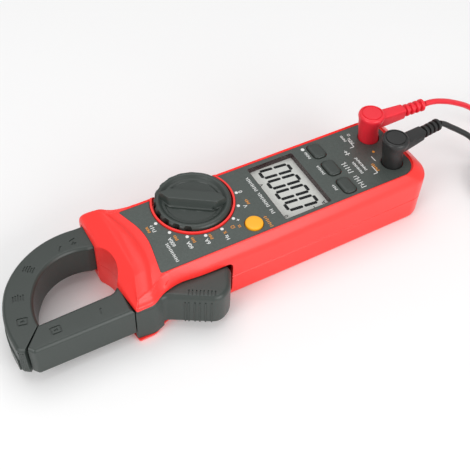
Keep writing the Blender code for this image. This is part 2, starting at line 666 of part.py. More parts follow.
def moving_jaw():
    axis = add_axis("jaw_axis", *PIVOT)
    shell_corners = (
        (-93.9, -16.3, 0.4, 1),
        (-102.9, -26.4, 0.5, 1),
        (-100.8, -28.9, 0.8, 1),
        (-55.6, -29.2, 0.3, 1),
        (-55.6, -13.0, 0.3, 1),
        (-57.0, -13.0, 0.3, 1),
        (-59.8, -15.5, 1.8, 2),
    )
    body = chamfered(lambda distance: outline(shell_corners, distance), JAW_LOW_Z, JAW_HIGH_Z, JAW_CHAMFER)
    shell = add_object("moving_jaw_shell", body, SLATE, axis)
    core = [
        Vector((-93.6, -19.0)), Vector((-98.4, -24.6)), Vector((-62.0, -25.0)), Vector((-57.0, -22.0)),
        Vector((-49.0, -15.6)), Vector((-49.0, -11.2)), Vector((-52.0, -11.2)), Vector((-57.0, -16.2)),
        Vector((-62.0, -19.0)),
    ]
    core_room = prism(inset(core, -GAP), CORE_LOW_Z - GAP, CORE_HIGH_Z + GAP)
    combine(shell, "moving_channel", core_room, "DIFFERENCE")
    add_object("moving_core", prism(core, CORE_LOW_Z, CORE_HIGH_Z), STEEL, axis)

    paddle = (
        (-55.3, -29.5, 0.4, 1),
        (-46.3, -30.2, 2.0, 1),
        (-40.6, -27.8, 2.0, 1),
        (-19.0, -40.6, 4.0, 3),
        (-12.0, -36.6, 3.0, 2),
        (-6.9, -27.6, 1.5, 1),
        (-7.2, -24.2, 1.0, 1),
        (-36.0, -21.8, 2.0, 1),
        (-42.6, -20.0, 1.0, 1),
        (-50.8, -19.0, 1.0, 1),
        (-55.3, -22.8, 0.4, 1),
    )
    lever = add_object("trigger_lever", loft([
        level(outline(paddle, 0.8), 5.0),
        level(outline(paddle), 6.0),
        level(outline(paddle), 21.6),
        level(outline(paddle, 1.6), 23.4),
    ]), SLATE, axis)
    skirt = prism(outline((
        (-55.3, -29.5, 0.4, 1),
        (-46.3, -30.2, 2.0, 1),
        (-41.4, -28.2, 0.4, 1),
        (-41.8, -27.3, 0.3, 1),
        (-55.3, -27.3, 0.3, 1),
    )), 2.6, 7.0)
    combine(lever, "lever_skirt", skirt, "UNION")
    combine(lever, "lever_hub", prism(circle(PIVOT, HUB_RADIUS, 32), 5.0, 23.3), "UNION")
    combine(lever, "lever_bore", prism(circle(PIVOT, PIN_RADIUS + GAP, 20), 0.0, 30.0), "DIFFERENCE")
    hollow = prism(outline((
        (-38.0, -25.2, 1.0, 1),
        (-19.0, -36.6, 2.0, 1),
        (-13.8, -34.0, 2.0, 1),
        (-9.6, -27.2, 1.0, 1),
    )), 0.0, 19.6)
    combine(lever, "lever_hollow", hollow, "DIFFERENCE")

    pin = chamfered(lambda distance: circle(PIVOT, PIN_RADIUS - distance, 20), 1.5, 26.7, 0.3)
    add_object("jaw_pivot_pin", pin, STEEL)
    turns = 3
    points = []
    steps = 8
    for step in range(turns * steps + 1):
        angle = 2 * math.pi * step / steps
        points.append((PIVOT[0] + 4.35 * math.cos(angle), PIVOT[1] + 4.35 * math.sin(angle),
                       24.3 + 0.85 * step / steps))
    points.insert(0, (PIVOT[0] + 4.35, PIVOT[1] - 2.6, 24.3))
    points.append((PIVOT[0] + 4.35, PIVOT[1] + 5.0, 24.3 + 0.85 * turns))
    wire("jaw_spring", points, 0.38, STEEL)


def screw(name, x, y, head_z, shank_top, head_radius):
    """A cross-head screw that enters from the back."""
    profile = ((head_radius, head_z), (head_radius, head_z + 1.4), (1.1, head_z + 2.0), (1.1, shank_top))
    part = add_object(name, turned(profile, (x, y), 16), STEEL)
    bars = (
        prism(rectangle(x - 1.6, x + 1.6, y - 0.3, y + 0.3, 0.1), head_z - 1.0, head_z + 0.9),
        prism(rectangle(x - 0.3, x + 0.3, y - 1.6, y + 1.6, 0.1), head_z - 1.0, head_z + 0.85),
    )
    combine_each(part, name + "_slot", bars, "DIFFERENCE")


def fasteners_and_battery():
    for index, (x, y) in enumerate(CASE_SCREWS):
        screw("case_screw_%d" % (index + 1), x, y, 1.2, 22.0, 2.5)
    door = add_object("battery_door", prism(outline(door_corners(0.0)), 0.15, 1.7), RED)
    screw_hole = turned(((2.6, -1.0), (2.6, 1.0), (1.5, 1.2), (1.5, 4.0)), DOOR_SCREW, 16)
    combine(door, "door_screw_hole", screw_hole, "DIFFERENCE")
    ribs = [prism(rectangle(x, x + 1.0, -6.0, 6.0, 0.2), -1.0, 0.55) for x in (26.0, 28.0, 30.0, 32.0)]
    combine_each(door, "door_grip_ribs", ribs, "DIFFERENCE")
    profile = ((2.2, 0.2), (2.2, 0.8), (1.0, 1.5), (1.0, 7.0))
    part = add_object("battery_door_screw", turned(profile, DOOR_SCREW, 16), STEEL)
    slot = rectangle(DOOR_SCREW[0] - 1.6, DOOR_SCREW[0] + 1.6, -0.3, 0.3, 0.1)
    combine(part, "battery_door_screw_slot", prism(slot, -1.0, 0.6), "DIFFERENCE")
    along = Matrix.Rotation(math.radians(90), 4, "Y")
    low_contact_x = BAY[0] + BAY_WALL + GAP
    high_contact_x = BAY[1] - BAY_WALL - GAP - CONTACT_THICKNESS
    for name, x in (("jaw_end_contact", low_contact_x), ("tail_end_contact", high_contact_x)):
        places = ((x, -11.2), (x + CONTACT_THICKNESS, -11.2), (x + CONTACT_THICKNESS, 11.2), (x, 11.2))
        add_object(name, prism([Vector(place) for place in places], 4.0, 12.6), STEEL)
    half = CELL_LENGTH / 2
    stop_low = low_contact_x + CONTACT_THICKNESS + GAP
    stop_high = high_contact_x - GAP
    cells = ((CELL_Y, 1, stop_high - half, stop_low), (-CELL_Y, -1, stop_low + half, stop_high))
    for index, (y, facing, middle_x, spring_x) in enumerate(cells):
        cell = turned(((CELL_RADIUS - 0.5, -half), (CELL_RADIUS, -half + 0.5), (CELL_RADIUS, half - 1.3),
                       (CELL_RADIUS - 0.5, half - 0.8), (1.9, half - 0.8), (1.9, half)), segments=16)
        turn = Matrix.Rotation(0.0 if facing == 1 else math.pi, 4, "Z") @ along
        cell = moved(cell, Matrix.Translation((middle_x, y, CELL_Z)) @ turn)
        add_object("battery_%d" % (index + 1), cell, CELL_COLOUR)
        length = abs(middle_x - facing * half - spring_x) - GAP
        points = []
        for step in range(25):
            share = step / 24
            angle = 2 * math.pi * step / 8
            radius = 3.4 - 1.6 * share
            points.append((spring_x + facing * (0.3 + (length - 0.6) * share), y + radius * math.cos(angle),
                           CELL_Z + radius * math.sin(angle)))
        wire("battery_spring_%d" % (index + 1), points, 0.25, STEEL)


def jacks():
    block = add_object("jack_block", prism(rectangle(87.2, 101.2, -16.8, 16.8, 3.0, 2), 9.0, 25.6), BLACK)
    bores = [prism(circle((JACK_X, y), 3.3, 20), 5.0, 30.0) for y in (JACK_Y, -JACK_Y)]
    combine_each(block, "jack_bores", bores, "DIFFERENCE")
    for name, y in (("voltage_jack", JACK_Y), ("common_jack", -JACK_Y)):
        tube = turned_ring(((3.0, 9.4), (3.0, 29.2), (2.25, 29.2), (2.25, 9.4)), (JACK_X, y), 20)
        add_object(name, tube, BRASS)


def plug(colour, y, heading, droop, finish):
    """A right-angled shrouded plug with its strain relief in one moulding, and its pin."""
    head = ((5.2, 26.3), (5.2, 31.0), (5.25, 39.5), (6.3, 44.0), (6.3, 46.2), (5.2, 47.2))
    body = add_object(colour + "_plug", turned(head, (JACK_X, y), 20), finish)
    place = Matrix.Translation((JACK_X, y, ARM_Z)) @ Matrix.Rotation(math.radians(heading), 4, "Z")
    lengthwise = place @ Matrix.Rotation(math.radians(90.0 + droop), 4, "Y")
    profile = [(3.6, 0.0), (3.4, 9.0), (3.1, 19.2), (2.0, 19.3)]
    for rib in range(4):
        start = 20.4 + rib * 3.1
        profile += [(2.0, start), (3.1, start + 0.1), (3.1, start + 1.9), (2.0, start + 2.0)]
    profile += [(1.9, ARM_LENGTH)]
    combine(body, colour + "_arm", moved(turned(profile, segments=12), lengthwise), "UNION")
    shroud_bore = turned(((3.5, 20.0), (3.5, 30.2)), (JACK_X, y), 20)
    combine(body, colour + "_shroud_bore", shroud_bore, "DIFFERENCE")
    pin_bore = turned(((2.25, 20.0), (2.25, 36.3)), (JACK_X, y), 16)
    combine(body, colour + "_pin_bore", pin_bore, "DIFFERENCE")
    pin = chamfered(lambda distance: circle((JACK_X, y), 1.95 - distance, 16), 12.0, 36.0, 0.4)
    add_object(colour + "_plug_pin", pin, BRASS)


def smooth_route(route, spacing):
    """Points at an even spacing on a smooth curve through the route."""
    places = [Vector(point) for point in route]
    padded = [places[0] * 2 - places[1]] + places + [places[-1] * 2 - places[-2]]
    fine = []
    for a, b, c, d in zip(padded, padded[1:], padded[2:], padded[3:]):
        for step in range(24):
            t = step / 24
            fine.append(0.5 * (2 * b + (c - a) * t + (2 * a - 5 * b + 4 * c - d) * t ** 2
                               + (3 * b - a - 3 * c + d) * t ** 3))
    fine.append(places[-1])
    lengths = [0.0]
    for low, high in zip(fine, fine[1:]):
        lengths.append(lengths[-1] + (high - low).length)
    count = max(2, round(lengths[-1] / spacing))
    even = []
    for index in range(count + 1):
        target = lengths[-1] * index / count
        place = max(i for i, length in enumerate(lengths) if length <= target + 1e-9)
        place = min(place, len(fine) - 2)
        share = (target - lengths[place]) / max(1e-9, lengths[place + 1] - lengths[place])
        even.append(fine[place].lerp(fine[place + 1], share))
    return even


def lead(colour, finish, start_route, coil, tie_angle, tail_route, probe):
    """One test lead: cord to the coil, the coil and its tie, the tail and the probe."""
    wire(colour + "_lead", smooth_route(start_route, 7.0), CORD_RADIUS, finish, 2)
    wire(colour + "_lead_tail", smooth_route(tail_route, 7.0), CORD_RADIUS, finish, 2)
    middle = (COIL_LOW_Z + COIL_HIGH_Z) / 2
    ring_profile = (
        (COIL_OUTER - 0.9, COIL_LOW_Z), (COIL_OUTER, middle), (COIL_OUTER - 0.9, COIL_HIGH_Z),
        (COIL_INNER + 0.9, COIL_HIGH_Z), (COIL_INNER, middle), (COIL_INNER + 0.9, COIL_LOW_Z),
    )
    add_object(colour + "_coil", turned_ring(ring_profile, coil, 28), finish)
    turn = Matrix.Translation((*coil, 0.0)) @ Matrix.Rotation(math.radians(tie_angle), 4, "Z")
    band = prism(rectangle(COIL_INNER - 1.5, COIL_OUTER + 1.2, -3.0, 3.0, 0.5), 0.0, COIL_HIGH_Z + 0.9)
    tie = add_object(colour + "_coil_tie", moved(band, turn), BLACK)
    room_side = rectangle(COIL_INNER - 0.8, COIL_OUTER + 0.4, -9.0, 9.0, 0.2)
    room = prism(room_side, COIL_LOW_Z - 0.25, COIL_HIGH_Z + 0.25)
    combine(tie, colour + "_tie_room", moved(room, turn), "DIFFERENCE")

    lie = Matrix.Translation((*probe, PROBE_Z)) @ Matrix.Rotation(math.radians(90.0 - PROBE_TILT), 4, "Y")
    handle_profile = (
        (2.4, 0.0), (3.0, 6.0), (3.7, 14.0), (4.2, 20.0), (4.9, 55.0), (4.6, 80.0),
        (4.8, 84.0), (6.2, 86.0), (6.2, 88.5), (4.2, 89.5), (3.4, 98.0),
    )
    handle = add_object(colour + "_probe_handle", moved(turned(handle_profile, segments=16), lie), finish)
    tip_bore = turned(((1.35, 80.0), (1.35, 99.0)), segments=12)
    combine(handle, colour + "_tip_bore", moved(tip_bore, lie), "DIFFERENCE")
    tip_profile = ((1.05, 80.3), (1.05, 114.0), (0.25, 117.0))
    add_object(colour + "_probe_tip", moved(turned(tip_profile, segments=12), lie), STEEL)


RED_START = (
    (127.3, 9.15, 41.5), (131.5, 9.1, 41.2), (140.0, 9.5, 38.3), (152.0, 9.9, 32.2),
    (163.0, 10.0, 25.2), (172.0, 10.1, 17.4), (179.5, 10.1, 9.8), (185.5, 10.0, 5.0),
    (192.0, 10.0, 2.9),
)
RED_COIL = (204.0, -11.2)
RED_TAIL = (
    (225.2, -23.3, 4.0), (225.9, -26.6, 3.6), (228.0, -29.9, 3.5), (231.4, -31.9, 3.7),
    (235.6, -32.4, 4.0),
)
BLACK_START = (
    (127.2, -4.55, 39.1), (130.6, -4.6, 37.3), (135.0, -5.2, 34.2), (141.0, -6.8, 30.2),
    (148.0, -9.0, 24.9), (154.0, -10.6, 17.6), (159.0, -11.4, 9.6), (164.2, -12.4, 3.9),
)
BLACK_COIL = (165.0, -36.8)
BLACK_TAIL = (
    (189.1, -41.1, 4.2), (190.3, -44.4, 3.8), (192.7, -48.0, 3.6), (196.5, -50.8, 3.7),
    (201.0, -52.3, 3.9), (206.1, -52.8, 4.0),
)


def build():
    clear_objects()
    front_shell()
    rear_shell()
    panel_overlay()
    display()
    board()
    keys()
    dial()
    fixed_jaw()
    moving_jaw()
    fasteners_and_battery()
    jacks()
    plug("red", JACK_Y, -2.0, 0.0, LEAD_RED)
    plug("black", -JACK_Y, 10.0, 4.0, BLACK)
    lead("red", LEAD_RED, RED_START, RED_COIL, 180.0, RED_TAIL, (236.0, -32.4))
    lead("black", BLACK, BLACK_START, BLACK_COIL, 215.0, BLACK_TAIL, (206.5, -52.8))


build()
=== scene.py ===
import json
import math

import bmesh
import bpy
from mathutils import Matrix, Quaternion, Vector


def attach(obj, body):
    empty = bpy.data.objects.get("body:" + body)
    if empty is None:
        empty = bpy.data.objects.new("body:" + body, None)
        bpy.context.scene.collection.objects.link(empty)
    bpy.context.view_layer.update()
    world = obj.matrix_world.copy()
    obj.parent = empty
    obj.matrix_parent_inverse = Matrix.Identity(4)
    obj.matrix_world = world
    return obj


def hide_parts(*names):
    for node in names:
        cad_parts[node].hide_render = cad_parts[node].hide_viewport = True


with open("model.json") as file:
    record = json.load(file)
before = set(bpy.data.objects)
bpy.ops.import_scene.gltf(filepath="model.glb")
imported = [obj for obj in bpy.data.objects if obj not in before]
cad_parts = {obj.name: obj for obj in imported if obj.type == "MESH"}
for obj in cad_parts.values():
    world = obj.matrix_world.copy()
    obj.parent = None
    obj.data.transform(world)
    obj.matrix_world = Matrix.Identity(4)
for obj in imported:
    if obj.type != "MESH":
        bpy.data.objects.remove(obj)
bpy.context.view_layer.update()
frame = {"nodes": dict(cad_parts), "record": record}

MM = 0.001
UPRIGHT = Matrix.Rotation(math.pi / 2, 4, "X")

# Camera
CAMERA_PLACE = (-123.0, -220.4, 309.9)
CAMERA_AZIMUTH = -31.27
CAMERA_ELEVATION = 49.44
CAMERA_ROLL = 3.02
CAMERA_LENS = 61.28
FLOOR_HALF = 3000.0
FLOOR_Z = -0.05
WORLD_STRENGTH = 0.55

# Case outline, counter-clockwise. Each row has x, y and blend length at the wall, at the rim, behind the
# collar's crown and beside the panel, and then the steps in the blend.
CASE_CORNERS = (
    ((111.2, -24.6, 10.5), (105.0, -21.7, 11.0), (104.4, -21.35, 10.3), (104.0, -21.05, 9.6), 12),
    ((111.2, 24.6, 10.5), (105.0, 21.7, 11.0), (104.4, 21.35, 10.3), (104.0, 21.05, 9.6), 12),
    ((30.0, 25.5, 14.0), (30.0, 21.6, 14.0), (30.0, 21.35, 14.0), (30.0, 21.05, 14.0), 4),
    ((-22.0, 25.5, 7.0), (-22.0, 21.6, 7.0), (-22.0, 21.35, 7.0), (-22.0, 21.05, 7.0), 4),
    ((-35.0, 23.9, 6.0), (-36.0, 21.6, 4.0), (-37.0, 21.4, 2.0), (-38.0, 21.1, 1.0), 6),
    ((-44.5, 26.9, 3.5), (-44.0, 23.4, 2.5), (-43.6, 21.9, 2.0), (-40.4, 21.2, 0.4), 6),
    ((-50.8, 31.2, 3.0), (-47.3, 26.2, 1.2), (-45.4, 22.4, 0.8), (-41.1, 21.0, 0.2), 5),
    ((-57.5, 31.4, 1.5), (-49.7, 26.6, 1.0), (-46.2, 21.6, 0.6), (-41.0, 20.6, 0.2), 5),
    ((-57.5, 16.0, 3.0), (-48.3, 16.0, 4.0), (-41.2, 8.5, 8.0), (-36.2, 6.0, 9.0), 7),
    ((-57.2, -14.0, 3.0), (-48.4, -14.0, 4.0), (-40.3, -10.0, 9.0), (-37.0, -8.0, 6.0), 7),
    ((-55.1, -30.5, 1.0), (-53.3, -27.6, 1.0), (-45.8, -26.0, 1.0), (-38.9, -20.9, 0.3), 4),
    ((-46.3, -30.3, 2.0), (-46.4, -27.3, 1.5), (-44.6, -25.0, 1.0), (-38.4, -21.0, 0.3), 4),
    ((-40.5, -26.5, 3.0), (-41.0, -23.2, 2.0), (-39.6, -22.2, 2.0), (-37.4, -21.05, 0.4), 5),
    ((-32.0, -24.3, 4.0), (-34.0, -21.7, 3.0), (-33.6, -21.35, 2.0), (-33.0, -21.05, 1.0), 5),
    ((-20.0, -25.5, 5.0), (-20.0, -21.6, 5.0), (-20.0, -21.35, 5.0), (-20.0, -21.05, 5.0), 4),
    ((30.0, -25.5, 14.0), (30.0, -21.6, 14.0), (30.0, -21.35, 14.0), (30.0, -21.05, 14.0), 4),
)
PARTING_Z = 13.5
PARTING_GAP = 0.16
WALL = 2.0
RIM_Z = 31.5
BED_Z = 30.2
PANEL_Z = 31.0
# Stage of the outline and height: 0 is the wall, 1 the rim, 2 behind the crown and 3 beside the panel
SHOULDER = (
    (0.0, 23.6), (0.015, 24.8), (0.06, 25.9), (0.14, 26.9), (0.28, 27.9), (0.46, 28.9), (0.64, 29.8),
    (0.80, 30.55), (0.92, 31.1), (1.0, 31.35), (1.12, 31.5),
)
CROWN = ((1.3, 0.7), (1.5, 1.0), (1.7, 0.9), (1.85, 0.55), (2.0, 0.0))
CROWN_SHARE = 0.07
VALLEY = ((2.15, 31.1), (2.4, 30.95), (3.0, 31.0))

PANEL_CORNERS = (
    (103.4, -20.6, 9.0, 10),
    (103.4, 20.6, 9.0, 10),
    (-40.8, 20.74, 0.8, 3),
    (-34.6, 3.0, 9.0, 12),
    (-38.6, -20.74, 0.8, 3),
)
HOLLOW_CENTRE = (-72.6, -2.0)
HOLLOW_RADIUS = 19.6
CASE_SCREWS = ((82.0, 19.0), (82.0, -19.0), (2.0, -20.4), (-32.0, 17.3))
BAY = (22.0, 76.4, -13.6, 13.6)
BAY_WALL = 1.6
DOOR_SCREW = (82.4, 0.0)

# Jaws
JAW_LOW_Z = 6.0
JAW_HIGH_Z = 24.0
JAW_CHAMFER = 1.6
JAW_OUTER_ARCS = (
    ((-62.0, 27.4), (-83.6, 23.9), (-101.5, 8.3)),
    ((-101.5, 8.3), (-106.6, -5.0), (-107.4, -20.0)),
)
JAW_INNER_ARCS = (
    ((-60.0, 12.6), (-76.4, 13.2), (-87.0, 5.8)),
    ((-87.0, 5.8), (-92.8, -5.0), (-94.2, -15.9)),
)
JAW_ROOT_X = -50.8
JAW_STEP_LEVELS = ((6.9, -0.1), (7.5, -0.6), (14.6, -0.6), (15.3, 0.3))
FIXED_FACE = ((-104.4, -26.6), (-94.2, -15.9))
MOVING_FACE = ((-93.9, -16.3), (-102.9, -26.4))
JAW_ARC_STEPS = 26
CORE_ROOM_Z = (8.7, 21.3)
CORE_GAP = 0.3
PIVOT = (-47.5, -22.5)
PIN_HOLE_RADIUS = 2.3
HUB_RADIUS = 5.5
TRIGGER_CORNERS = (
    (-55.3, -29.5, 0.4, 2), (-46.3, -30.2, 2.0, 5), (-40.6, -27.8, 2.0, 5), (-19.0, -40.6, 4.0, 10),
    (-12.0, -36.6, 3.0, 8), (-6.9, -27.6, 1.5, 5), (-7.2, -24.2, 1.0, 3), (-36.0, -21.8, 2.0, 4),
    (-42.6, -20.0, 1.0, 3), (-50.8, -19.0, 1.0, 3), (-55.3, -22.8, 0.4, 2),
)
TRIGGER_FACE = ((-40.6, -27.8), (-19.0, -40.6))

# Dial
DIAL_CENTRE = (-7.0, 10.95)
DIAL_ANGLE = -33.7
WELL_RADIUS = 19.3
WELL_FLOOR_Z = 27.0
RING_RADIUS = 20.3
RING_RISE = 0.3
STOP_STEP = 22.45
STOP_RADIUS = 21.82
FIRST_STOP = -11.2

# Display, keys and jacks
WINDOW = (26.8, 52.6, -18.85, 18.24)
LCD_LOW_Z = 25.6
LCD_Z = 27.8
KEY_X = 64.6
KEY_Y = (13.48, 0.0, -13.48)
KEY_SIZE = (7.0, 10.5)
SELECT_CENTRE = (12.2, -14.4)
SELECT_RADIUS = 4.3
JACK_X = 94.4
JACK_Y = 10.3
JACK_HOLE_RADIUS = 5.6
ARM_Z = 41.5
ARM_LENGTH = 32.5
PRINT_HEIGHT = 0.06

# Leads: the same routes as the solids, from the plug to the coil and from the coil to the probe
CORD_RADIUS = 1.5
COIL_OUTER_TURN = 21.2
COIL_PITCH = 3.05
COIL_LAYERS_Z = (2.45, 5.55)
RED_START = (
    (127.3, 9.15, 41.5), (131.5, 9.1, 41.2), (140.0, 9.5, 38.3), (152.0, 9.9, 32.2), (163.0, 10.0, 25.2),
    (172.0, 10.1, 17.4), (179.5, 10.1, 9.8), (185.5, 10.0, 5.0), (192.0, 10.0, 2.9),
)
RED_COIL = (204.0, -11.2)
RED_TAIL = (
    (225.2, -23.3, 4.0), (225.9, -26.6, 3.6), (228.0, -29.9, 3.5), (231.4, -31.9, 3.7), (235.6, -32.4, 4.0),
)
BLACK_START = (
    (127.2, -4.55, 39.1), (130.6, -4.6, 37.3), (135.0, -5.2, 34.2), (141.0, -6.8, 30.2),
    (148.0, -9.0, 24.9), (154.0, -10.6, 17.6), (159.0, -11.4, 9.6), (164.2, -12.4, 3.9),
)
BLACK_COIL = (165.0, -36.8)
BLACK_TAIL = (
    (189.1, -41.1, 4.2), (190.3, -44.4, 3.8), (192.7, -48.0, 3.6), (196.5, -50.8, 3.7),
    (201.0, -52.3, 3.9), (206.1, -52.8, 4.0),
)
PROBE_PLACES = {"red": (236.0, -32.4), "black": (206.5, -52.8)}
PROBE_Z = 4.0
PROBE_TILT = math.radians(1.5)
PROBE_CORD = (3.0, 20.0, 42.0, 64.0)

# Looks: colour, roughness, metallic share and the values that differ from the usual ones of add_look
LOOKS = {
    "red_plastic": ((0.92, 0.03, 0.024), 0.34, 0.0, dict(grain_depth=0.012, mottle=0.02)),
    "slate_plastic": ((0.032, 0.0405, 0.036), 0.4, 0.0, dict(grain_depth=0.045)),
    "panel_film": ((0.07, 0.083, 0.076), 0.36, 0.25,
                   dict(grain=3400, grain_depth=0.012, mottle=0.35, patch=1500.0)),
    "orange_key": ((0.95, 0.42, 0.01), 0.42, 0.0, dict(grain=1500, grain_depth=0.03)),
    "clear_window": ((0.05, 0.05, 0.055), 0.06, 0.0, dict(grain=300.0, grain_depth=0.001, spread=0.02)),
    "lcd": ((0.75, 0.76, 0.72), 0.4, 0.0, dict(grain=900, grain_depth=0.002, mottle=0.03)),
    "black_plastic": ((0.02, 0.021, 0.021), 0.45, 0.0, {}),
    "board": ((0.02, 0.16, 0.06), 0.4, 0.0, {}),
    "grey_rubber": ((0.25, 0.25, 0.25), 0.7, 0.0, {}),
    "steel": ((0.62, 0.62, 0.61), 0.28, 1.0, dict(grain=1500, grain_depth=0.01, stretch=(1.0, 1.0, 0.08))),
    "brass": ((0.75, 0.55, 0.22), 0.28, 1.0, dict(grain=1500, grain_depth=0.01)),
    "copper_wire": ((0.6, 0.25, 0.1), 0.35, 1.0,
                    dict(grain=1800, grain_depth=0.08, stretch=(1.0, 0.05, 1.0))),
    "cell_wrap": ((0.3, 0.32, 0.35), 0.35, 0.4, {}),
    "red_lead": ((0.8, 0.018, 0.034), 0.4, 0.0, dict(grain=1700, grain_depth=0.03)),
    "black_lead": ((0.015, 0.0155, 0.0155), 0.4, 0.0, dict(grain=1700, grain_depth=0.03)),
}


# Materials ---------------------------------------------------------------------------------------

def add_node(tree, kind, **values):
    node = tree.nodes.new(kind)
    for name, value in values.items():
        if name in node.inputs:
            node.inputs[name].default_value = value
        else:
            setattr(node, name, value)
    return node


def tinted(colour, factor):
    return tuple(min(1.0, channel * factor) for channel in colour[:3]) + (1.0,)


def add_look(name, colour, roughness, metallic=0.0, grain=2600.0, grain_depth=0.03, mottle=0.05,
             spread=0.06, stretch=(1.0, 1.0, 1.0), patch=45.0):
    """A moulded or metal surface: fine grain in the relief, and slow changes in colour and gloss."""
    material = bpy.data.materials.new(name)
    material.use_nodes = True
    material.diffuse_color = (*colour, 1.0)
    tree = material.node_tree
    shader = tree.nodes["Principled BSDF"]
    shader.inputs["Metallic"].default_value = metallic
    place = add_node(tree, "ShaderNodeTexCoord")
    mapping = add_node(tree, "ShaderNodeMapping", Scale=stretch)
    fine = add_node(tree, "ShaderNodeTexNoise", Scale=grain, Detail=3.0, Roughness=0.6)
    slow = add_node(tree, "ShaderNodeTexNoise", Scale=patch, Detail=4.0, Roughness=0.55)
    tint = add_node(tree, "ShaderNodeMix", data_type="RGBA", A=tinted(colour, 1.0 - mottle),
                    B=tinted(colour, 1.0 + mottle))
    gloss = add_node(tree, "ShaderNodeMapRange", **{
        "From Min": 0.3, "From Max": 0.7, "To Min": roughness - spread, "To Max": roughness + spread,
    })
    bump = add_node(tree, "ShaderNodeBump", Strength=0.5, Distance=grain_depth * MM)
    for source, output, target, socket in (
        (place, "Object", mapping, "Vector"), (mapping, "Vector", fine, "Vector"),
        (place, "Object", slow, "Vector"), (slow, "Fac", tint, "Factor"),
        (tint, "Result", shader, "Base Color"), (fine, "Fac", gloss, "Value"),
        (gloss, "Result", shader, "Roughness"), (fine, "Fac", bump, "Height"),
        (bump, "Normal", shader, "Normal"),
    ):
        tree.links.new(source.outputs[output], target.inputs[socket])
    return material


def make_looks():
    looks = {
        name: add_look(name, colour, roughness, metallic, **other)
        for name, (colour, roughness, metallic, other) in LOOKS.items()
    }
    window = looks["clear_window"]
    window.node_tree.nodes["Principled BSDF"].inputs["Alpha"].default_value = 0.08
    window.surface_render_method = "BLENDED"
    return looks


# Shapes, as in the model of the solids ------------------------------------------------------------

def new_object(name, data):
    thing = bpy.data.objects.new(name, data)
    bpy.context.scene.collection.objects.link(thing)
    return thing


def make_piece(name, bm, look=None):
    """Turn a bmesh in millimetres into a named object."""
    bmesh.ops.scale(bm, vec=(MM, MM, MM), verts=bm.verts)
    mesh = bpy.data.meshes.new(name)
    bm.to_mesh(mesh)
    bm.free()
    piece = new_object(name, mesh)
    if look:
        mesh.materials.append(look)
    return piece


def apply_modifiers(piece):
    depsgraph = bpy.context.evaluated_depsgraph_get()
    mesh = bpy.data.meshes.new_from_object(piece.evaluated_get(depsgraph))
    piece.modifiers.clear()
    old = piece.data
    piece.data = mesh
    mesh.name = old.name
    bpy.data.meshes.remove(old)


def combine(piece, shapes, operation="DIFFERENCE"):
    """Cut, join or trim a piece with each shape in turn."""
    tools = []
    for shape in shapes:
        tool = shape if isinstance(shape, bpy.types.Object) else make_piece("tool", shape)
        modifier = piece.modifiers.new("combine", "BOOLEAN")
        modifier.object = tool
        modifier.operation = operation
        modifier.solver = "EXACT"
        tools.append(tool)
    apply_modifiers(piece)
    for tool in tools:
        bpy.data.objects.remove(tool, do_unlink=True)


def soften(piece, width=0.0, segments=2, angle=32.0, sharp=30.0):
    """Round the edges a little, then shade the piece smooth with flat faces kept flat."""
    if width:
        bevel = piece.modifiers.new("edges", "BEVEL")
        bevel.width = width * MM
        bevel.segments = segments
        bevel.limit_method = "ANGLE"
        bevel.angle_limit = math.radians(angle)
        bevel.use_clamp_overlap = True
        bevel.miter_outer = "MITER_ARC"
        apply_modifiers(piece)
    piece.data.shade_smooth()
    piece.data.set_sharp_from_angle(angle=math.radians(sharp))
    weighted = piece.modifiers.new("shading", "WEIGHTED_NORMAL")
    weighted.keep_sharp = True
    apply_modifiers(piece)


def settle(piece, body, slot, *nodes):
    """The piece rides on a body and stands for these solids, which it hides. The slot is not used."""
    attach(piece, body)
    if nodes:
        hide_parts(*nodes)
    return piece


def blend_corner(before, corner, after, cut, steps):
    towards_before = (before - corner).normalized()
    towards_after = (after - corner).normalized()
    start = corner + towards_before * cut
    end = corner + towards_after * cut
    weight = math.cos((math.pi - towards_before.angle(towards_after)) / 2)
    points = []
    for step in range(steps + 1):
        t = step / steps
        first = (1 - t) ** 2
        middle = 2 * t * (1 - t) * weight
        last = t * t
        points.append((start * first + corner * middle + end * last) / (first + middle + last))
    return points


def inset(points, distance):
    moved_points = []
    for index, point in enumerate(points):
        along_before = (point - points[index - 1]).normalized()
        along_after = (points[(index + 1) % len(points)] - point).normalized()
        inward_before = Vector((-along_before.y, along_before.x))
        inward_after = Vector((-along_after.y, along_after.x))
        inward = (inward_before + inward_after).normalized()
        moved_points.append(point + inward * (distance / max(0.4, inward.dot(inward_before))))
    return moved_points


def outline(corners, distance=0.0):
    """A closed counter-clockwise outline through corners given as x, y, blend length and steps."""
    places = [Vector((corner[0], corner[1])) for corner in corners]
    moved_places = inset(places, distance)
    points = []
    for index, corner in enumerate(corners):
        before = places[index - 1]
        place = places[index]
        after = places[(index + 1) % len(places)]
        turn = (after - place).angle_signed(place - before)
        cut = max(0.15, corner[2] - distance * math.tan(turn / 2))
        next_place = moved_places[(index + 1) % len(places)]
        points += blend_corner(moved_places[index - 1], moved_places[index], next_place, cut, corner[3])
    return points


def rectangle(x_low, x_high, y_low, y_high, blend=0.8, steps=4):
    places = ((x_high, y_low), (x_high, y_high), (x_low, y_high), (x_low, y_low))
    return outline([(x, y, blend, steps) for x, y in places])


def grown(bounds, margin):
    x_low, x_high, y_low, y_high = bounds
    return x_low - margin, x_high + margin, y_low - margin, y_high + margin


def circle(centre, radius, segments=64):
    turn = 2 * math.pi / segments
    return [
        Vector((centre[0] + radius * math.cos(turn * i), centre[1] + radius * math.sin(turn * i)))
        for i in range(segments)
    ]


